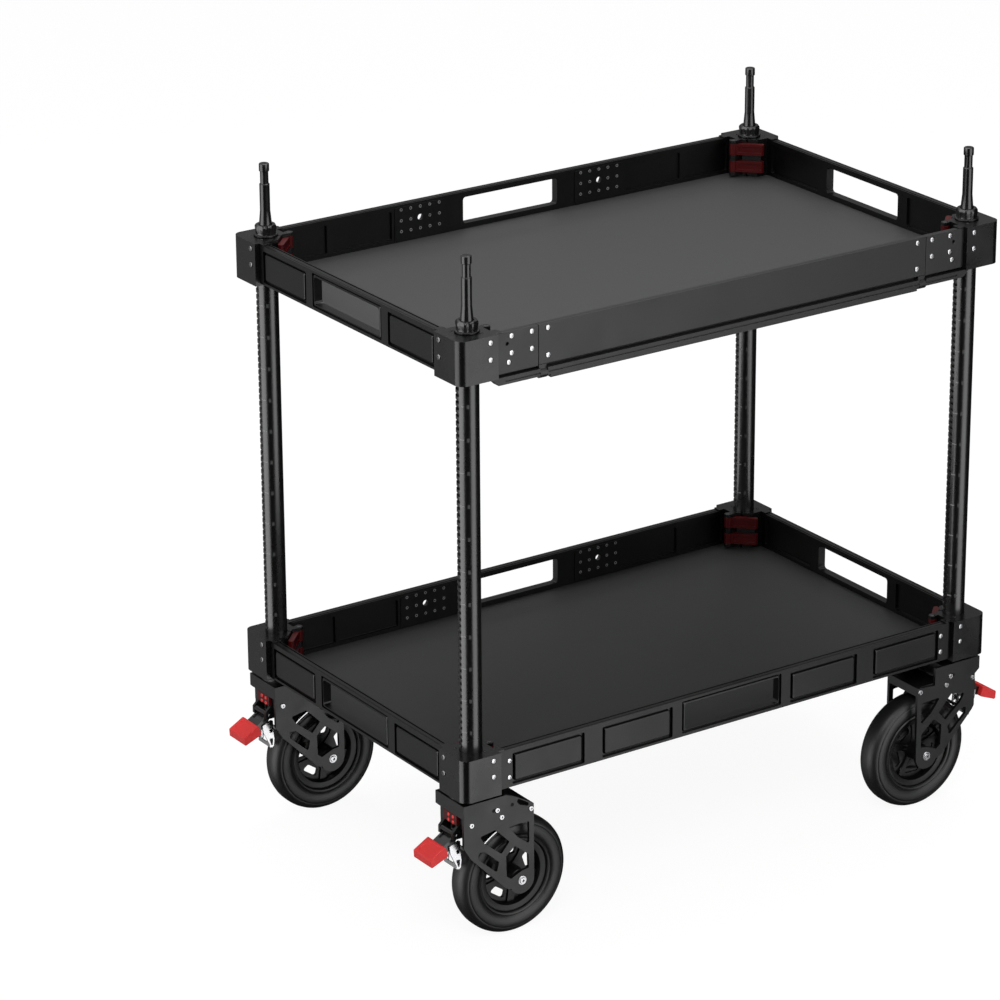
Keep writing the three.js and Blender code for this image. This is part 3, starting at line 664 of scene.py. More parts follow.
def wall_mesh(half_span, tray, outer_bays, inner_bays, has_pads=False):
    z0, z1 = wall_levels(tray)
    bay = (z0 + BAY_RISE, z1 - BAY_DROP)
    field = (z0 + FIELD_RISE, z1 - FIELD_DROP)
    inner = WALL_THICKNESS
    pad_face = inner + PAD_THICKNESS
    body = box(-half_span, half_span, 0, inner, z0, z1)
    if has_pads:
        pads = []
        for start, end in both_ways([(PAD_START, PAD_START + PAD_LENGTH)]):
            outline = rounded(rectangle(start, end, z0 + PAD_MARGIN, z1 - PAD_MARGIN), PAD_CORNER)
            pads.append(upright(outline, inner - OVERRUN, pad_face))
        body = combined(body, pads, "UNION")
    cuts = [framed_field(x0, x1, *field) for x0, x1 in both_ways(outer_bays)]
    cuts += [pocket(x0, x1, *bay, inner, inner - INNER_BAY_DEPTH) for x0, x1 in both_ways(inner_bays)]
    end = half_span + OVERRUN
    for y0, y1, depth in TOP_GROOVES:
        cuts.append(box(-end, end, y0, y1, z1 - depth, z1 + OVERRUN))
    cuts.append(box(-end, end, -OVERRUN, FOOT_STEP, z0 - OVERRUN, z0 + FOOT_HEIGHT))
    half = HANDLE_HALF + HANDLE_FRAME
    top = z1 - HANDLE_DROP
    bottom = top - HANDLE_HEIGHT
    frame_levels = (bottom - HANDLE_FRAME, top + HANDLE_FRAME)
    cuts.append(framed_field(-half, half, *frame_levels, HANDLE_CHANNEL, HANDLE_FRAME_DEPTH))
    handle = rounded(rectangle(-HANDLE_HALF, HANDLE_HALF, bottom, top), HANDLE_CORNER)
    cuts.append(upright(handle, -OVERRUN, inner + OVERRUN))
    if has_pads:
        for centre in pad_centres(tray):
            cuts.append(upright(circle(PAD_HOLE, 24, *centre), -OVERRUN, pad_face + OVERRUN))
            cuts.append(upright(circle(PAD_SINK, 32, *centre), -OVERRUN, PAD_SINK_DEPTH))
    return combined(body, cuts)


def pad_inserts(tray):
    """Threaded inserts in the pads of the back wall, all but the middle one of each."""
    face = WALL_THICKNESS + PAD_THICKNESS
    insert = turned(INSERT_PROFILE, 20, loop=True)
    copies = []
    for x, z in pad_centres(tray):
        for column in range(PAD_COLUMNS):
            for row in range(PAD_ROWS):
                across = PAD_PITCH * (column - (PAD_COLUMNS - 1) / 2)
                up = PAD_PITCH * (row - (PAD_ROWS - 1) / 2)
                if across or up:
                    copies.append(seated(insert, (x + across, face, z + up), (0, 1, 0)))
    return joined(copies)


def add_trays():
    for tray, body in TRAY_BODIES.items():
        back = wall_mesh(LONG_SPAN, tray, LONG_BAYS, PAD_BAYS, has_pads=True)
        end = wall_mesh(SIDE_SPAN, tray, SIDE_BAYS, SIDE_BAYS)
        walls = {"back": back, "left": end, "right": end}
        if tray == "lower":
            walls["front"] = wall_mesh(LONG_SPAN, tray, LONG_BAYS, LONG_BAYS)
        for side, mesh in walls.items():
            wall = moved(mesh, WALL_FRAMES[side])
            stand_in(f"{tray}_{side}_wall", "moulding", body, "wall_black", wall, WALL_EDGE)
        inserts = moved(pad_inserts(tray), WALL_FRAMES["back"])
        piece(f"{tray}_pad_inserts", body, "bright_steel", inserts, look="insert_grey")
        block = block_mesh(tray)
        lever = lever_mesh(tray)
        web = lever_web_mesh(tray)
        for corner in CORNERS:
            place = corner_frame(corner)
            stand_in(f"{tray}_block_{corner}", "casting", body, "block_black", moved(block, place), EDGE)
            node = f"{tray}_lever_{corner}"
            stand_in(node, "handle", node, "lever_red", moved(lever, place), EDGE)
            piece(f"{node}_web", node, "lock_black", moved(web, place), SHEET_EDGE, 1)
        piece(f"{tray}_lever_pins", body, "pin_black", joined(at_corners(pivot_mesh(tray))))
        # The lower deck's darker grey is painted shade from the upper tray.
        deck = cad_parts[f"{tray}_deck"]
        deck.data.materials.clear()
        deck.data.materials.append(FINISHES[f"{tray}_deck_grey"])
        soften(deck, BOARD_EDGE)


# Fold-down front panel, end plates, rail and hinges

RAIL_TAPER = 12
RAIL_LIP = 5
RAIL_LIP_END = 343.3
RAIL_GROOVE = (4.2, 6.4)
RAIL_GROOVE_DEPTH = 1.6
RAIL_GROOVE_INSET = 24
SEAL_THICKNESS = 3
HINGE_OUTER = 361.3
HINGE_WIDTH = 13
HINGE_STRAP = 22
HINGE_STRAP_FOOT = 2.4
HINGE_Y = -306
HINGE_Z = 906
KNUCKLE_RADIUS = 7.6
PLATE_HOLE = (417, 963)
PLATE_HOLE_RADIUS = 2.6
PLATE_HOLE_DEPTH = 5


def rail_mesh():
    y0, y1 = rail_low.y, rail_high.y
    end = rail_high.x
    bottom = rail_low.z + RAIL_LIP
    right = [
        (RAIL_LIP_END, rail_low.z), (RAIL_LIP_END, bottom),
        (end - RAIL_TAPER, bottom), (end, rail_high.z),
    ]
    outline = [(-x, z) for x, z in reversed(right)] + right
    seal_levels = (rail_high.z - OVERRUN, panel_low.z - SEAT_GAP)
    seal = box(-panel_high.x, panel_high.x, y1 - SEAL_THICKNESS, y1, *seal_levels)
    body = combined(upright(outline, y0, y1), [seal], "UNION")
    gap = (HINGE_OUTER - HINGE_WIDTH - SEAT_GAP, HINGE_OUTER + SEAT_GAP)
    cuts = []
    for x0, x1 in both_ways([gap]):
        cuts.append(box(x0, x1, y0 - OVERRUN, y1 + OVERRUN, rail_low.z - OVERRUN, panel_low.z))
    end -= RAIL_GROOVE_INSET
    groove = [bottom + rise for rise in RAIL_GROOVE]
    cuts.append(box(-end, end, y0 - OVERRUN, y0 + RAIL_GROOVE_DEPTH, *groove))
    return combined(body, cuts)


def hinge_mesh():
    outer = HINGE_OUTER
    inner = outer - HINGE_WIDTH
    top = panel_low.z - SEAT_GAP
    knuckle = prism(circle(KNUCKLE_RADIUS, 40), inner, outer)
    knuckle = moved(knuckle, shift(0, HINGE_Y, HINGE_Z) @ spin(90, "Y"))
    tongue = box(inner, outer, -WALL_FACE, hinge_high.y, HINGE_Z, top)
    strap_sides = (outer - HINGE_STRAP, outer, panel_high.y + SEAT_GAP, hinge_high.y)
    strap = box(*strap_sides, top - HINGE_STRAP_FOOT, hinge_high.z)
    return combined(knuckle, [tongue, strap], "UNION")


def add_front():
    board = box_between(panel_low, panel_high)
    stand_in("front_panel", "board", "front_panel", "panel_black", board, BOARD_EDGE)
    stand_in("front_rail", "bar", "upper_tray", "panel_black", rail_mesh(), PLATE_EDGE)
    hinge = hinge_mesh()
    hole = circle(PLATE_HOLE_RADIUS, 24, *PLATE_HOLE)
    hole = upright(hole, -WALL_FACE - OVERRUN, -WALL_FACE + PLATE_HOLE_DEPTH)
    plate = combined(box_between(plate_low, plate_high), [hole])
    for side, sign in (("left", -1), ("right", 1)):
        flip = Matrix.Diagonal((sign, 1, 1, 1))
        cover = moved(plate, flip)
        bracket = moved(hinge, flip)
        stand_in(f"{side}_end_plate", "cover", "upper_tray", "panel_black", cover, PLATE_EDGE)
        stand_in(f"{side}_panel_hinge", "bracket", "front_panel", "panel_black", bracket, BRACKET_EDGE)


# Screws

SCREW_RADIUS = 4.3
SOCKET_RADIUS = 2.1
SCREW_HEIGHT = 1.2
SCREW_SIDES = 24
SCREW_SINK = 0.8
SCREW_DOME_SHARES = ((1, 0.55), (0.94, 0.85), (0.86, 1))
SOCKET_LEVEL_SHARES = (1, 0.25)
# Radius and height
TOP_SCREW = (2.4, 0.8)
BLOCK_SCREW_FRONT = 53.5
BLOCK_SCREW_END = 55
BLOCK_SCREW_DROPS = (10, 36)
BLOCK_TOP_SCREWS = ((51, 19), (21, 54))
PLATE_SCREWS = ((409.6, 974), (409.6, 948), (374, 974), (374, 947.5), (414.6, 934.5))
HINGE_SCREWS = ((345.3, 974), (345.3, 932))
LOWER_FRONT_SCREWS = ((417.5, 301.2), (417.5, 273.9))


def screw(radius=SCREW_RADIUS, height=SCREW_HEIGHT):
    """A button head with a six-sided socket, seated at z = 0."""
    rings = [at_height(circle(radius, SCREW_SIDES), -SCREW_SINK)]
    for share, level in SCREW_DOME_SHARES:
        rings.append(at_height(circle(radius * share, SCREW_SIDES), level * height))
    socket = []
    for i, (x, y) in enumerate(circle(SOCKET_RADIUS * radius / SCREW_RADIUS, SCREW_SIDES)):
        off_middle = (FULL_TURN * i / SCREW_SIDES) % 60 - 30
        share = math.cos(math.radians(30)) / math.cos(math.radians(off_middle))
        socket.append((x * share, y * share))
    rings += [at_height(socket, level * height) for level in SOCKET_LEVEL_SHARES]
    return skin(rings)


def block_screws(tray, across, along, outward):
    """Two screws, one above the other, on the same face of each corner block."""
    template = screw()
    heights = [TRAY_TOPS[tray] - drop for drop in BLOCK_SCREW_DROPS]
    return at_corners(joined([seated(template, (across, along, z), outward) for z in heights]))


def block_top_screws(tray):
    small = screw(*TOP_SCREW)
    places = [moved(small, shift(*place, TRAY_TOPS[tray])) for place in BLOCK_TOP_SCREWS]
    return joined(at_corners(joined(places)))


def front_screws(points, face):
    """Screws at (x, z) on a face that looks to -Y, and mirrored in X."""
    template = screw()
    return [seated(template, (sign * x, face, z), (0, -1, 0)) for x, z in points for sign in (-1, 1)]


def add_screws():
    fronts = {
        "lower": front_screws(LOWER_FRONT_SCREWS, -WALL_FACE),
        "upper": front_screws(PLATE_SCREWS, plate_low.y),
    }
    for tray, body in TRAY_BODIES.items():
        long_side = fronts[tray] + block_screws(tray, BLOCK_SCREW_FRONT, 0, (0, -1, 0))
        ends = block_screws(tray, 0, BLOCK_SCREW_END, (-1, 0, 0))
        piece(f"{tray}_tray_screws", body, "bright_steel", joined(long_side))
        # The screws on the blocks' end faces take the darker copy of the steel, as painted shade.
        piece(f"{tray}_end_screws", body, "bright_steel", joined(ends), look="painted_shade_steel")
        piece(f"{tray}_block_top_screws", body, "pin_black", block_top_screws(tray))
    hinge_screws = joined(front_screws(HINGE_SCREWS, panel_low.y))
    piece("hinge_screws", "front_panel", "bright_steel", hinge_screws)


# Posts, baby pins and pin locks, drawn on the post's axis

# Radius and height above the tray's top, and for the tip below the pin's top
PIN_PROFILE = (
    (14.2, -40), (14.2, 0), (10.2, 0), (10.2, 18.3), (10, 18.9), (8.2, 38.6), (8, 40.2), (8, 82.4),
    (7.6, 83), (6.6, 83.6), (6.5, 84.6), (6.5, 101.8), (6.6, 102.8), (7.6, 103.4), (8, 104),
)
PIN_TIP = ((8, -1.6), (7.7, -0.6), (6.8, 0), (1, 0))
# Radius, height above the seat and depth of the lobes
LOCK_PROFILE = (
    (18.2, 0, 0), (18.8, 0.6, 0), (18.8, 2.4, 0), (18.2, 3, 0), (16.3, 3.4, 0.8), (16.2, 6, 1.4),
    (17.2, 12, 1.4), (17.2, 15.4, 1.4), (15.6, 17.6, 0.8), (14.8, 18, 0), (10.8, 18, 0), (10.8, 0, 0),
)


def stations(low, high, pitch, phase):
    """Heights between low and high that lie a whole number of pitches above the phase."""
    first = math.ceil((low - phase) / pitch)
    last = math.floor((high - phase) / pitch)
    return [phase + i * pitch for i in range(first, last + 1)]


def post_mesh():
    sides = 64
    z0, z1 = post_low.z, post_high.z
    full = circle(POST_RADIUS, sides)
    turn = math.radians(NOTCH_DIRECTION)
    towards = (math.cos(turn), math.sin(turn))
    notched = []
    for x, y in full:
        beyond = max(x * towards[0] + y * towards[1] - POST_RADIUS + NOTCH_DEPTH, 0)
        notched.append((x - beyond * towards[0], y - beyond * towards[1]))
    levels = [(z0, full)]
    half = NOTCH_HEIGHT / 2
    floor = half - NOTCH_SLOPE
    for middle in stations(z0 + NOTCH_END, z1 - NOTCH_END, NOTCH_PITCH, NOTCH_PHASE):
        levels += [(middle - half, full), (middle - floor, notched)]
        levels += [(middle + floor, notched), (middle + half, full)]
    bore = circle(POST_BORE, sides)
    levels += [(z1, full), (z1, bore), (z0, bore)]
    return skin([at_height(outline, z) for z, outline in levels], loop=True)


def marks_mesh(height, *angles):
    """The same printed mark at every step of the post's scale."""
    low = TRAY_TOPS["lower"] + TICK_END
    high = TRAY_TOPS["upper"] - BLOCK_HEIGHT - TICK_END
    radii = [POST_RADIUS + layer for layer in TICK_LAYER]
    steps = stations(low, high, TICK_STEPS * NOTCH_PITCH, TICK_PHASE)
    return joined([band(radii, angles, 6, z - height / 2, z + height / 2) for z in steps])


def pin_mesh():
    foot = TRAY_TOPS["upper"]
    top = reach("baby_pin_front_left")[1].z
    profile = [(r, foot + z) for r, z in PIN_PROFILE] + [(r, top + z) for r, z in PIN_TIP]
    return turned(profile, 48)


def lock_mesh():
    sides = 96
    seat = TRAY_TOPS["upper"] + SEAT_GAP
    turns = [math.radians(FULL_TURN * i / sides) for i in range(sides)]
    rings = []
    for radius, height, depth in LOCK_PROFILE:
        radii = [radius - depth * (1 - math.cos(LOCK_LOBES * t)) / 2 for t in turns]
        rings.append([(r * math.cos(t), r * math.sin(t), seat + height) for r, t in zip(radii, turns)])
    return skin(rings, loop=True)


def add_posts():
    post = post_mesh()
    lines = marks_mesh(*LINE_MARKS)
    spots = marks_mesh(*SPOT_MARKS)
    pin = pin_mesh()
    lock = lock_mesh()
    for corner in CORNERS:
        place = inset_frame(corner, POST_INSET)
        node = f"post_{corner}"
        stand_in(node, "tube", "chassis", "post_black", moved(post, place))
        piece(f"{node}_lines", "chassis", "post_black", moved(lines, place), look="insert_grey")
        piece(f"{node}_marks", "chassis", "post_black", moved(spots, place), look="mark_grey")
        stand_in(f"baby_pin_{corner}", "spigot", "chassis", "pin_black", moved(pin, place))
        node = f"pin_lock_{corner}"
        stand_in(node, "collar", node, "lock_black", moved(lock, place))


# Casters. Shares run along the fork and up from the axle, or for the pedal out and down from its pivot

FORK_BACK_SHARES = ((0, 1), (0, 0.522), (0.101, 0.386), (0.6, -0.04))
FORK_CUT_BACK_SHARES = ((0, 1), (0, 0.836), (0.069, 0.788), (0.069, 0.429), (0.101, 0.386), (0.6, -0.04))
FORK_FRONT_SHARES = ((1, 0.8), (0.72, 0.93), (0.6, 1))
FORK_CUT_FRONT_SHARES = ((1, 0.8), (0.72, 0.78), (0.72, 1))
FORK_WINDOW_SHARES = (
    ((0.626, 0.631), (0.932, 0.619), (0.932, 0.377), (0.765, 0.484)),
    ((0.228, 0.601), (0.447, 0.632), (0.649, 0.462), (0.533, 0.353), (0.292, 0.515)),
    ((0.198, 0.44), (0.291, 0.428), (0.496, 0.276), (0.466, 0.167), (0.203, 0.363)),
    ((0.772, 0.9), (0.916, 0.829), (0.939, 0.781), (0.8, 0.823), (0.758, 0.864)),
    (
        (0.726, 0.397), (0.92, 0.265), (0.925, 0.115), (0.825, 0.105), (0.668, 0.05), (0.605, 0.09),
        (0.596, 0.312),
    ),
)
FORK_WINDOW_CORNER = 2.2
BOSS_START = -154.8
FORK_LENGTH = FORK_HEEL + TRAIL + BOSS_RADIUS
FORK_BOLTS = ((-20.1, 212.7), (26.6, 226), (34.6, 212.4), (88.2, 212.6))
# Places of the fork's holes as x, z and side, where black discs are painted shade instead of cut holes
FORK_HOLE_SHADES = ((20.5, 226.4, -1), (20.5, 226.4, 1), (54.2, 227.8, -1))
LUG_SCREW = (-34, 193)
# Radius and height
FORK_BOLT_HEAD = (4.2, 1.8)
LUG_SCREW_HEAD = (2.4, 1)
AXLE_HEAD = (5.4, 3)
WASHER_PROFILE = ((4.2, -1), (4.2, 1), (7, 1), (7.5, 0.6), (7.5, -1))
RIVET_PROFILE = ((3.1, -0.6), (3.1, 0.4), (2.4, 1), (0.8, 1.2))
# Profile of the black discs on the fork plates, painted shade in the place of holes
HOLE_SHADE_PROFILE = ((3, -0.5), (3, 0.12))
RIVET_PLACES = ((-9, 211), (-9, 219.5), (3, 211), (3, 219.5))
STOP_ROD = (-10, 157)
STOP_ROD_RADIUS = 2.6
AXLE_RADIUS = 6
PEDAL_PAD_SHARES = ((0.89, 0.57), (0.375, 0.26), (0.27, 0.6), (0.87, 0.86))
PEDAL_ARM_SHARES = (
    (-0.122, 0.03), (0.212, 0.256), (0.4, 0.38), (0.36, 0.58), (0.244, 0.6), (-0.02, 0.38), (-0.122, 0.18),
)
PEDAL_REACH = 53.2
PEDAL_HEIGHT = 50
PEDAL_HALF = 23.5
PEDAL_CORNER = 2.5
DISH_HALVES = (10, 16.5)
DISH_CORNER = 4
DISH_DEPTH = 0.7
ARM_HALF = 14.6
ARM_SLOT_HALVES = (6, 10.6)
ARM_SLOT_CORNER = 1.2
ARM_SLOT_PLACE = (30, 0, -3.5)
ARM_SLOT_DEPTH = 2.4
YOKE_INNER = 14.9
YOKE_OUTER = 17.5
YOKE_CHEEK = (
    (-46, 176), (-30, 182), (-26.5, 181), (-26, 158), (-24.8, 149), (-26, 137), (-30, 134), (-37, 148),
    (-44, 163),
)
YOKE_CORNER = 1.4
YOKE_HOLE = (-31, 164)
YOKE_HOLE_RADIUS = 3.4
YOKE_SLOT = ((-34.5, 151), (-27.2, 150.5), (-28, 139), (-30.5, 138.5))
YOKE_SLOT_CORNER = 1
YOKE_FRONT = (-33.5, -31.5)
YOKE_FRONT_LEVELS = (136, 172)
YOKE_WINDOW = (-8, 8, 142, 160)
YOKE_WINDOW_CORNER = 2
YOKE_FOOT = (-33.5, -29.5)
YOKE_FOOT_LEVELS = (135.6, 139.6)
LOCK_HALF = 18
LOCK_THICKNESS = 6
LOCK_HEIGHT = 17
HOUSING_BACK = 12
STRAP_RADII = (98.5, 100.7)
STRAP_ANGLES = (112, 131)
STRAP_SIDES = (26, 32.6)
SPOKES = 5
SPOKE_START = 55
SPOKE_HALF = 6
SPOKE_OUTLINE = ((11, -6), (30, -4), (50, -7), (50, 7), (30, 4), (11, 6))
WINDOW_OUTLINE = ((29, -11), (41, -15.5), (41, 15.5), (29, 11))
WINDOW_CORNER = 3.5
# Radius and half thickness
WHEEL_WEB = (50, 3)
WEB_BLIND = (49, 0.8)
HUB_BORE = (6.6, 30)
HUB_PROFILE = ((6.6, -29), (12.5, -29), (14, -28), (15, -16), (15, 16), (14, 28), (12.5, 29), (6.6, 29))
RIM_PROFILE = (
    (49.2, -12), (50.4, -14.2), (57.5, -15.6), (59.9, -15), (59.9, 15), (57.5, 15.6), (50.4, 14.2),
    (49.2, 12), (47.8, 6), (47.8, -6),
)
TYRE_PROFILE = (
    (60.4, 14.5), (60.6, 17.6), (61.8, 19.2), (64, 19.9), (65.2, 19.3), (66, 18.6), (66.8, 19.3),
    (68.2, 20.6), (72, 21.6), (77, 22), (82, 21.5), (84.2, 20.8), (85, 20), (85.9, 20),
    (87.6, 19.6), (90.6, 17.6), (93.2, 14.8), (95.2, 11.2), (96.3, 6.6), (96.5, 2.4),
)
# Radius and height above the fork's top
RACE_PROFILE = (
    (11.5, -19), (11.5, 0.3), (33, 0.3), (34, 0.8), (34, 1.3), (33.2, 1.6), (34, 1.9), (34, 3.3),
    (11.5, 3.3),
)
LUG_OUTER = 20
LUG_THICKNESS = 5
LUG_DROP = 8.5
LUG_ROOM = 15
LUG_SHOULDER = 4
LUG_RISE = 3
BARREL_RADIUS = 4.5


def fork_point(shares):
    along, up = shares
    height = WHEEL_RADIUS + up * (FORK_TOP - WHEEL_RADIUS)
    return -FORK_HEEL + along * FORK_LENGTH, min(height, FORK_SHOULDER)


def fork_plate(back, front, y0, y1):
    """A side plate with its windows, from the shares of its back and front edges."""
    boss = arc(BOSS_RADIUS, BOSS_START, 0, 18, TRAIL, WHEEL_RADIUS)
    outline = [fork_point(s) for s in back] + boss + [fork_point(s) for s in front]
    cuts = []
    for shares in FORK_WINDOW_SHARES:
        window = rounded([fork_point(s) for s in shares], FORK_WINDOW_CORNER, 3)
        cuts.append(upright(window, y0 - OVERRUN, y1 + OVERRUN))
    return combined(upright(outline, y0, y1), cuts)


def fork_mesh():
    plate = fork_plate(FORK_BACK_SHARES, FORK_FRONT_SHARES, -FORK_OUTER, -FORK_INNER)
    cut_plate = fork_plate(FORK_CUT_BACK_SHARES, FORK_CUT_FRONT_SHARES, FORK_INNER, FORK_OUTER)
    heel = -FORK_HEEL
    housing = (heel + LOCK_THICKNESS, heel + HOUSING_BACK)
    width = (-FORK_INNER - OVERLAP, FORK_INNER + OVERLAP)
    cross = (CROWN_FRONT - OVERLAP, fork_point(FORK_FRONT_SHARES[0])[0])
    added = [
        cut_plate,
        box(heel, CROWN_FRONT, *width, CROWN_BOTTOM, FORK_SHOULDER),
        prism(circle(RACE_RADIUS, 48), FORK_SHOULDER - OVERLAP, FORK_TOP),
        box(*BACK_PLATE, *width, *BACK_PLATE_LEVELS),
        box(*cross, *width, *CROSS_LEVELS),
        box(*housing, *width, *HOUSING_LEVELS),
    ]
    tip = -PIVOT_REACH - BARREL_RADIUS
    shoulder = heel + LUG_SHOULDER
    low = PIVOT_HEIGHT - LUG_DROP
    high = CROWN_BOTTOM - SEAT_GAP - LUG_ROOM
    rise = PIVOT_HEIGHT + LUG_RISE
    lug = [(tip, low), (housing[1], low), (housing[1], high), (shoulder, high), (tip, rise)]
    for y0, y1 in both_ways([(LUG_OUTER - LUG_THICKNESS, LUG_OUTER)]):
        added.append(upright(lug, y0, y1))
    return combined(plate, added, "UNION")


def swivel_lock_mesh():
    heel = -FORK_HEEL
    top = CROWN_BOTTOM - SEAT_GAP
    return box(heel, heel + LOCK_THICKNESS, -LOCK_HALF, LOCK_HALF, top - LOCK_HEIGHT, top)


def pedal_point(shares):
    out, down = shares
    return -PIVOT_REACH - out * PEDAL_REACH, PIVOT_HEIGHT - down * PEDAL_HEIGHT


def pedal_top_frame():
    """A frame on the middle of the pad's top, whose Z points out of it."""
    (x0, z0), (x1, z1) = (pedal_point(s) for s in PEDAL_PAD_SHARES[:2])
    slope = math.degrees(math.atan2(z0 - z1, x1 - x0))
    return shift((x0 + x1) / 2, 0, (z0 + z1) / 2) @ spin(slope, "Y")


def pedal_mesh():
    """The foot pad, with a shallow dish on its top."""
    outline = rounded([pedal_point(s) for s in PEDAL_PAD_SHARES], PEDAL_CORNER, 3)
    dish = prism(rounded(centred(*DISH_HALVES), DISH_CORNER), -DISH_DEPTH, OVERRUN)
    return combined(upright(outline, -PEDAL_HALF, PEDAL_HALF), [moved(dish, pedal_top_frame())])


def arm_mesh():
    """The black arm from the brake's pivot to the pad, with its barrel."""
    barrel = upright(circle(BARREL_RADIUS, 32, -PIVOT_REACH, PIVOT_HEIGHT), -ARM_HALF, ARM_HALF)
    plate = upright([pedal_point(s) for s in PEDAL_ARM_SHARES], -ARM_HALF, ARM_HALF)
    slot = prism(rounded(centred(*ARM_SLOT_HALVES), ARM_SLOT_CORNER), -ARM_SLOT_DEPTH, 3 * OVERRUN)
    slot = moved(slot, pedal_top_frame() @ shift(*ARM_SLOT_PLACE))
    return combined(combined(barrel, [plate], "UNION"), [slot])


def yoke_mesh():
    """The plated brake yoke: two pierced cheeks, a windowed plate between them and the foot at its end."""
    cheek = rounded(YOKE_CHEEK, YOKE_CORNER, 3)
    slot = rounded(YOKE_SLOT, YOKE_SLOT_CORNER, 3)
    hole = circle(YOKE_HOLE_RADIUS, 24, *YOKE_HOLE)
    cheeks = []
    cuts = []
    for y0, y1 in both_ways([(YOKE_INNER, YOKE_OUTER)]):
        cheeks.append(upright(cheek, y0, y1))
        cuts += [upright(outline, y0 - OVERRUN, y1 + OVERRUN) for outline in (hole, slot)]
    front = box(*YOKE_FRONT, -YOKE_INNER - OVERLAP, YOKE_INNER + OVERLAP, *YOKE_FRONT_LEVELS)
    window = rounded(rectangle(*YOKE_WINDOW), YOKE_WINDOW_CORNER)
    window = upright(window, YOKE_FRONT[0] - OVERRUN, YOKE_FRONT[1] + OVERRUN)
    front = combined(front, [moved(window, spin(-90, "Z"))])
    foot = box(*YOKE_FOOT, -YOKE_OUTER, YOKE_OUTER, *YOKE_FOOT_LEVELS)
    return combined(combined(cheeks[0], [cheeks[1], front, foot], "UNION"), cuts)


def strap_mesh():
    """The plated strap that lies over the tyre inside one fork plate."""
    strap = band(STRAP_RADII, STRAP_ANGLES, 12, *STRAP_SIDES, TRAIL, WHEEL_RADIUS)
    return moved(strap, spin(90, "X"))


def tyre_mesh():
    profile = [(r, -s) for r, s in TYRE_PROFILE] + [(r, s) for r, s in reversed(TYRE_PROFILE)]
    return moved(turned(profile, 120, loop=True), spin(90, "X"))


def disc(radius, half, sides):
    return prism(circle(radius, sides), -half, half)


def rim_mesh(pierced):
    """A rim with its hub and spokes, whose web is pierced between the spokes or closed by a thin disc."""
    rim = turned(RIM_PROFILE, 96, loop=True)
    hub = turned(HUB_PROFILE, 48, loop=True)
    spoke = prism(SPOKE_OUTLINE, -SPOKE_HALF, SPOKE_HALF)
    window = prism(rounded(WINDOW_OUTLINE, WINDOW_CORNER), -SPOKE_HALF, SPOKE_HALF)
    turns = [SPOKE_START + FULL_TURN / SPOKES * i for i in range(SPOKES)]
    spokes = [moved(spoke, spin(turn, "Z")) for turn in turns]
    windows = [moved(window, spin(turn + FULL_TURN / SPOKES / 2, "Z")) for turn in turns]
    web = combined(disc(*WHEEL_WEB, 96), windows)
    if not pierced:
        web = combined(web, [disc(*WEB_BLIND, 96)], "UNION")
    whole = combined(combined(web, [rim, hub, *spokes], "UNION"), [disc(*HUB_BORE, 48)])
    return moved(whole, spin(90, "X"))


def swivel_mesh():
    """The swivel's fixed race under the corner block."""
    return turned([(r, FORK_TOP + z) for r, z in RACE_PROFILE], 64)


def on_both_sides(mesh, x, half, z):
    """Copies that look outward from the two sides of a fork."""
    return [seated(mesh, (x, sign * half, z), (0, sign, 0)) for sign in (-1, 1)]


def axle_mesh():
    washer = turned(WASHER_PROFILE, 40, loop=True)
    rod = upright(circle(AXLE_RADIUS, 32, TRAIL, WHEEL_RADIUS), -FORK_OUTER, FORK_OUTER)
    heads = joined([washer, screw(*AXLE_HEAD)])
    return joined(on_both_sides(heads, TRAIL, FORK_OUTER, WHEEL_RADIUS) + [rod])


def fork_bolts_mesh():
    bolt = screw(*FORK_BOLT_HEAD)
    found = [mesh for x, z in FORK_BOLTS for mesh in on_both_sides(bolt, x, FORK_OUTER, z)]
    found += on_both_sides(screw(*LUG_SCREW_HEAD), LUG_SCREW[0], LUG_OUTER, LUG_SCREW[1])
    found.append(upright(circle(STOP_ROD_RADIUS, 32, *STOP_ROD), -FORK_INNER, FORK_INNER))
    return joined(found)


def rivets_mesh():
    """Rivets on the face of the swivel lock."""
    rivet = turned(RIVET_PROFILE, 20)
    return joined([seated(rivet, (-FORK_HEEL, y, z), (-1, 0, 0)) for y, z in RIVET_PLACES])


# Black discs just proud of the fork plates: painted shade where the plates have holes that are not cut.
def fork_holes_mesh():
    hole = turned(HOLE_SHADE_PROFILE, 24)
    return joined([seated(hole, (x, sign * FORK_OUTER, z), (0, sign, 0)) for x, z, sign in FORK_HOLE_SHADES])


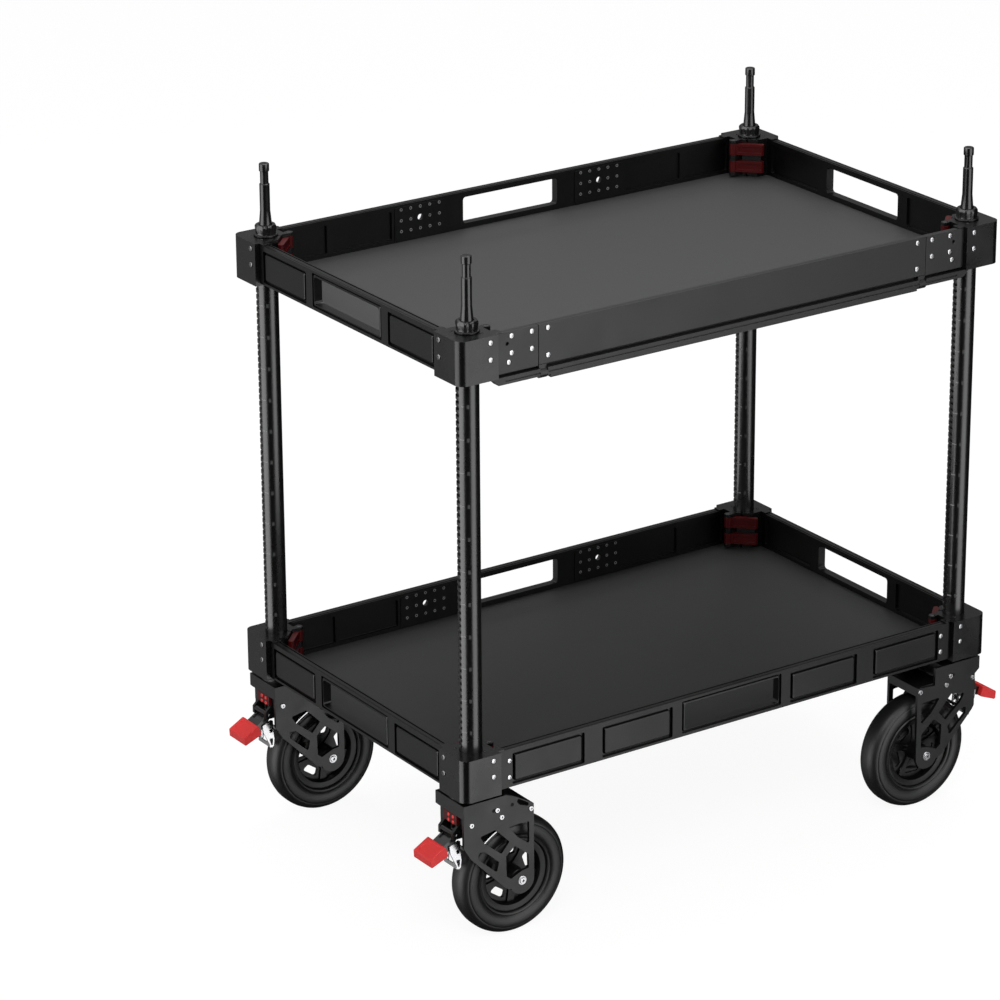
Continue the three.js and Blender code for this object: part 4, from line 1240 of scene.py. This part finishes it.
def add_casters():
    meshes = {
        "fork": (fork_mesh(), "fork_black", EDGE),
        "lock": (swivel_lock_mesh(), "lever_red", EDGE),
        "strap": (strap_mesh(), "bright_steel", SHEET_EDGE),
        "rivets": (rivets_mesh(), "pedal_red", 0),
        "bolts": (fork_bolts_mesh(), "bright_steel", 0),
        "axle": (axle_mesh(), "bright_steel", 0),
        "holes": (fork_holes_mesh(), "fork_black", 0),
    }
    axle = shift(TRAIL, 0, WHEEL_RADIUS)
    rims = {sign: rim_mesh(pierced=sign < 0) for sign in (-1, 1)}
    tyre = moved(tyre_mesh(), axle)
    pedal = pedal_mesh()
    arm = arm_mesh()
    yoke = yoke_mesh()
    swivel = swivel_mesh()
    for corner, (sx, _) in CORNERS.items():
        half_turns = int(sx > 0)
        place = inset_frame(corner, CASTER_INSET) @ spin(180 * half_turns, "Z")
        fork = f"fork_{corner}"
        for name, (mesh, slot, edge) in meshes.items():
            replaced = [fork] if name == "fork" else []
            # The hole discs take a near-black look: painted shade in the place of real holes.
            look = "shadow_black" if name == "holes" else None
            mesh = moved(mesh, place)
            piece(f"caster_{corner}_{name}", fork, slot, mesh, edge, replaces=replaced, look=look)
        wheel = f"wheel_{corner}"
        rim = moved(rims[sx], place @ axle @ spin(180 / SPOKES * half_turns, "Y"))
        piece(f"{wheel}_rim", wheel, "rim_black", rim, EDGE, replaces=[f"rim_{corner}"])
        piece(f"{wheel}_tyre", wheel, "tyre_black", moved(tyre, place), replaces=[f"tyre_{corner}"])
        node = f"brake_pedal_{corner}"
        body = f"pedal_{corner}"
        stand_in(node, "pad", body, "pedal_red", moved(pedal, place), PEDAL_EDGE, 3)
        piece(f"{node}_arm", body, "lock_black", moved(arm, place), BRACKET_EDGE)
        piece(f"{node}_yoke", body, "bright_steel", moved(yoke, place), YOKE_EDGE)
        piece(f"caster_{corner}_swivel", "chassis", "block_black", moved(swivel, place))


add_trays()
add_front()
add_screws()
add_posts()
add_casters()


# Floor, world and lights

BACKDROP_RAYS = ("Is Camera Ray", "Is Glossy Ray", "Is Transmission Ray")
WORLD_LIGHT = 0.5
FLOOR_HALF = 30
FLOOR_GLOW = 0.86
FLOOR_WHITE = 1.08
CARD_DISTANCE = 6
CARD_STEP = 6
CARD_CENTRE = 0.6
GROUND_HALF = 18
GROUND_LEVEL = -4.5
GROUND_STRENGTH = 0.05
# Name, first and last angle about Z, lowest and highest elevation, strength
CARDS = (
    ("left_strip", 147, 197, -34, 50, 3.8),
    ("camera_side_flag", 197, 261, -60, 50, 0.01),
    ("front_strip", 261, 306, -34, 50, 3.1),
    ("right_flag", 308, 400, -60, 42, 0.02),
    ("back_flag", 40, 112, -60, 30, 0.2),
    ("side_glow", 112, 147, -60, 30, 0.42),
)
LAMP_TARGET = Vector((0, 0, 0.6))
# Name, place, width, power
LAMPS = (("key_lamp", (-2.6, -3.2, 4.2), 2.4, 120), ("top_lamp", (0.6, 0.8, 4.6), 3, 90))


def bare_tree(owner):
    owner.use_nodes = True
    owner.node_tree.nodes.clear()
    return owner.node_tree


def show(tree, shader, owner="Material"):
    """Links a shader to a new output node."""
    tree.links.new(shader.outputs[0], add_node(tree, f"Output{owner}").inputs["Surface"])


def light_path_mix(tree, plain, shown):
    """Shows one shader to the rays that see a backdrop and the plain one to all others."""
    path = add_node(tree, "LightPath")
    chosen = path.outputs[BACKDROP_RAYS[0]]
    for ray in BACKDROP_RAYS[1:]:
        either = add_node(tree, "Math")
        either.operation = "MAXIMUM"
        tree.links.new(chosen, either.inputs[0])
        tree.links.new(path.outputs[ray], either.inputs[1])
        chosen = either.outputs[0]
    mix = add_node(tree, "MixShader")
    for number, output in enumerate((chosen, plain.outputs[0], shown.outputs[0])):
        tree.links.new(output, mix.inputs[number])
    return mix


def add_world():
    world = bpy.data.worlds.new("studio")
    scene.world = world
    tree = bare_tree(world)
    dim = add_node(tree, "Background", Strength=WORLD_LIGHT)
    white = add_node(tree, "Background", Color=(1, 1, 1, 1))
    show(tree, light_path_mix(tree, dim, white), "World")


def add_stage(name, points, faces):
    """A sheet that isn't part of the cart, in metres, and its empty material."""
    mesh = bpy.data.meshes.new(name)
    mesh.from_pydata(points, [], faces)
    sheet = bpy.data.objects.new(name, mesh)
    scene.collection.objects.link(sheet)
    material = bpy.data.materials.new(name)
    mesh.materials.append(material)
    return sheet, bare_tree(material)


def add_floor():
    """A pale floor that is white to the camera, with the cart's soft shadow."""
    floor, tree = add_stage("floor", at_height(centred(FLOOR_HALF, FLOOR_HALF), 0), [(0, 1, 2, 3)])
    floor.visible_glossy = False
    matt = add_node(tree, "BsdfDiffuse", Color=(0.8, 0.8, 0.8, 1))
    glow = add_node(tree, "Emission", Strength=FLOOR_WHITE)
    soft = add_node(tree, "MixShader")
    soft.inputs[0].default_value = FLOOR_GLOW
    tree.links.new(matt.outputs[0], soft.inputs[1])
    tree.links.new(glow.outputs[0], soft.inputs[2])
    show(tree, light_path_mix(tree, matt, soft))


def add_glow(name, points, faces, strength):
    """A studio card that only reflections see."""
    card, tree = add_stage(name, points, faces)
    show(tree, add_node(tree, "Emission", Strength=strength))
    for ray in ("camera", "diffuse", "shadow", "transmission", "volume_scatter"):
        setattr(card, f"visible_{ray}", False)


def add_card(name, start, end, low, high, strength):
    """A curved card between two angles about Z and two elevations."""
    steps = max(1, round((end - start) / CARD_STEP))
    levels = [CARD_CENTRE + CARD_DISTANCE * math.tan(math.radians(rise)) for rise in (low, high)]
    points = [(x, y, z) for x, y in arc(CARD_DISTANCE, start, end, steps) for z in levels]
    faces = [(2 * i, 2 * i + 2, 2 * i + 3, 2 * i + 1) for i in range(steps)]
    add_glow(name, points, faces, strength)


def add_lamp(name, place, width, power):
    data = bpy.data.lights.new(name, "AREA")
    data.shape = "SQUARE"
    data.size = width
    data.energy = power
    lamp = bpy.data.objects.new(name, data)
    lamp.matrix_world = facing(place, Vector(place) - LAMP_TARGET)
    scene.collection.objects.link(lamp)


add_world()
add_floor()
for card in CARDS:
    add_card(*card)
# A level card far below the floor, which dims what undersides and upright faces reflect
ground = at_height(centred(GROUND_HALF, GROUND_HALF), GROUND_LEVEL)
add_glow("ground_flag", ground, [(0, 1, 2, 3)], GROUND_STRENGTH)
for lamp in LAMPS:
    add_lamp(*lamp)

scene.view_settings.view_transform = "Standard"
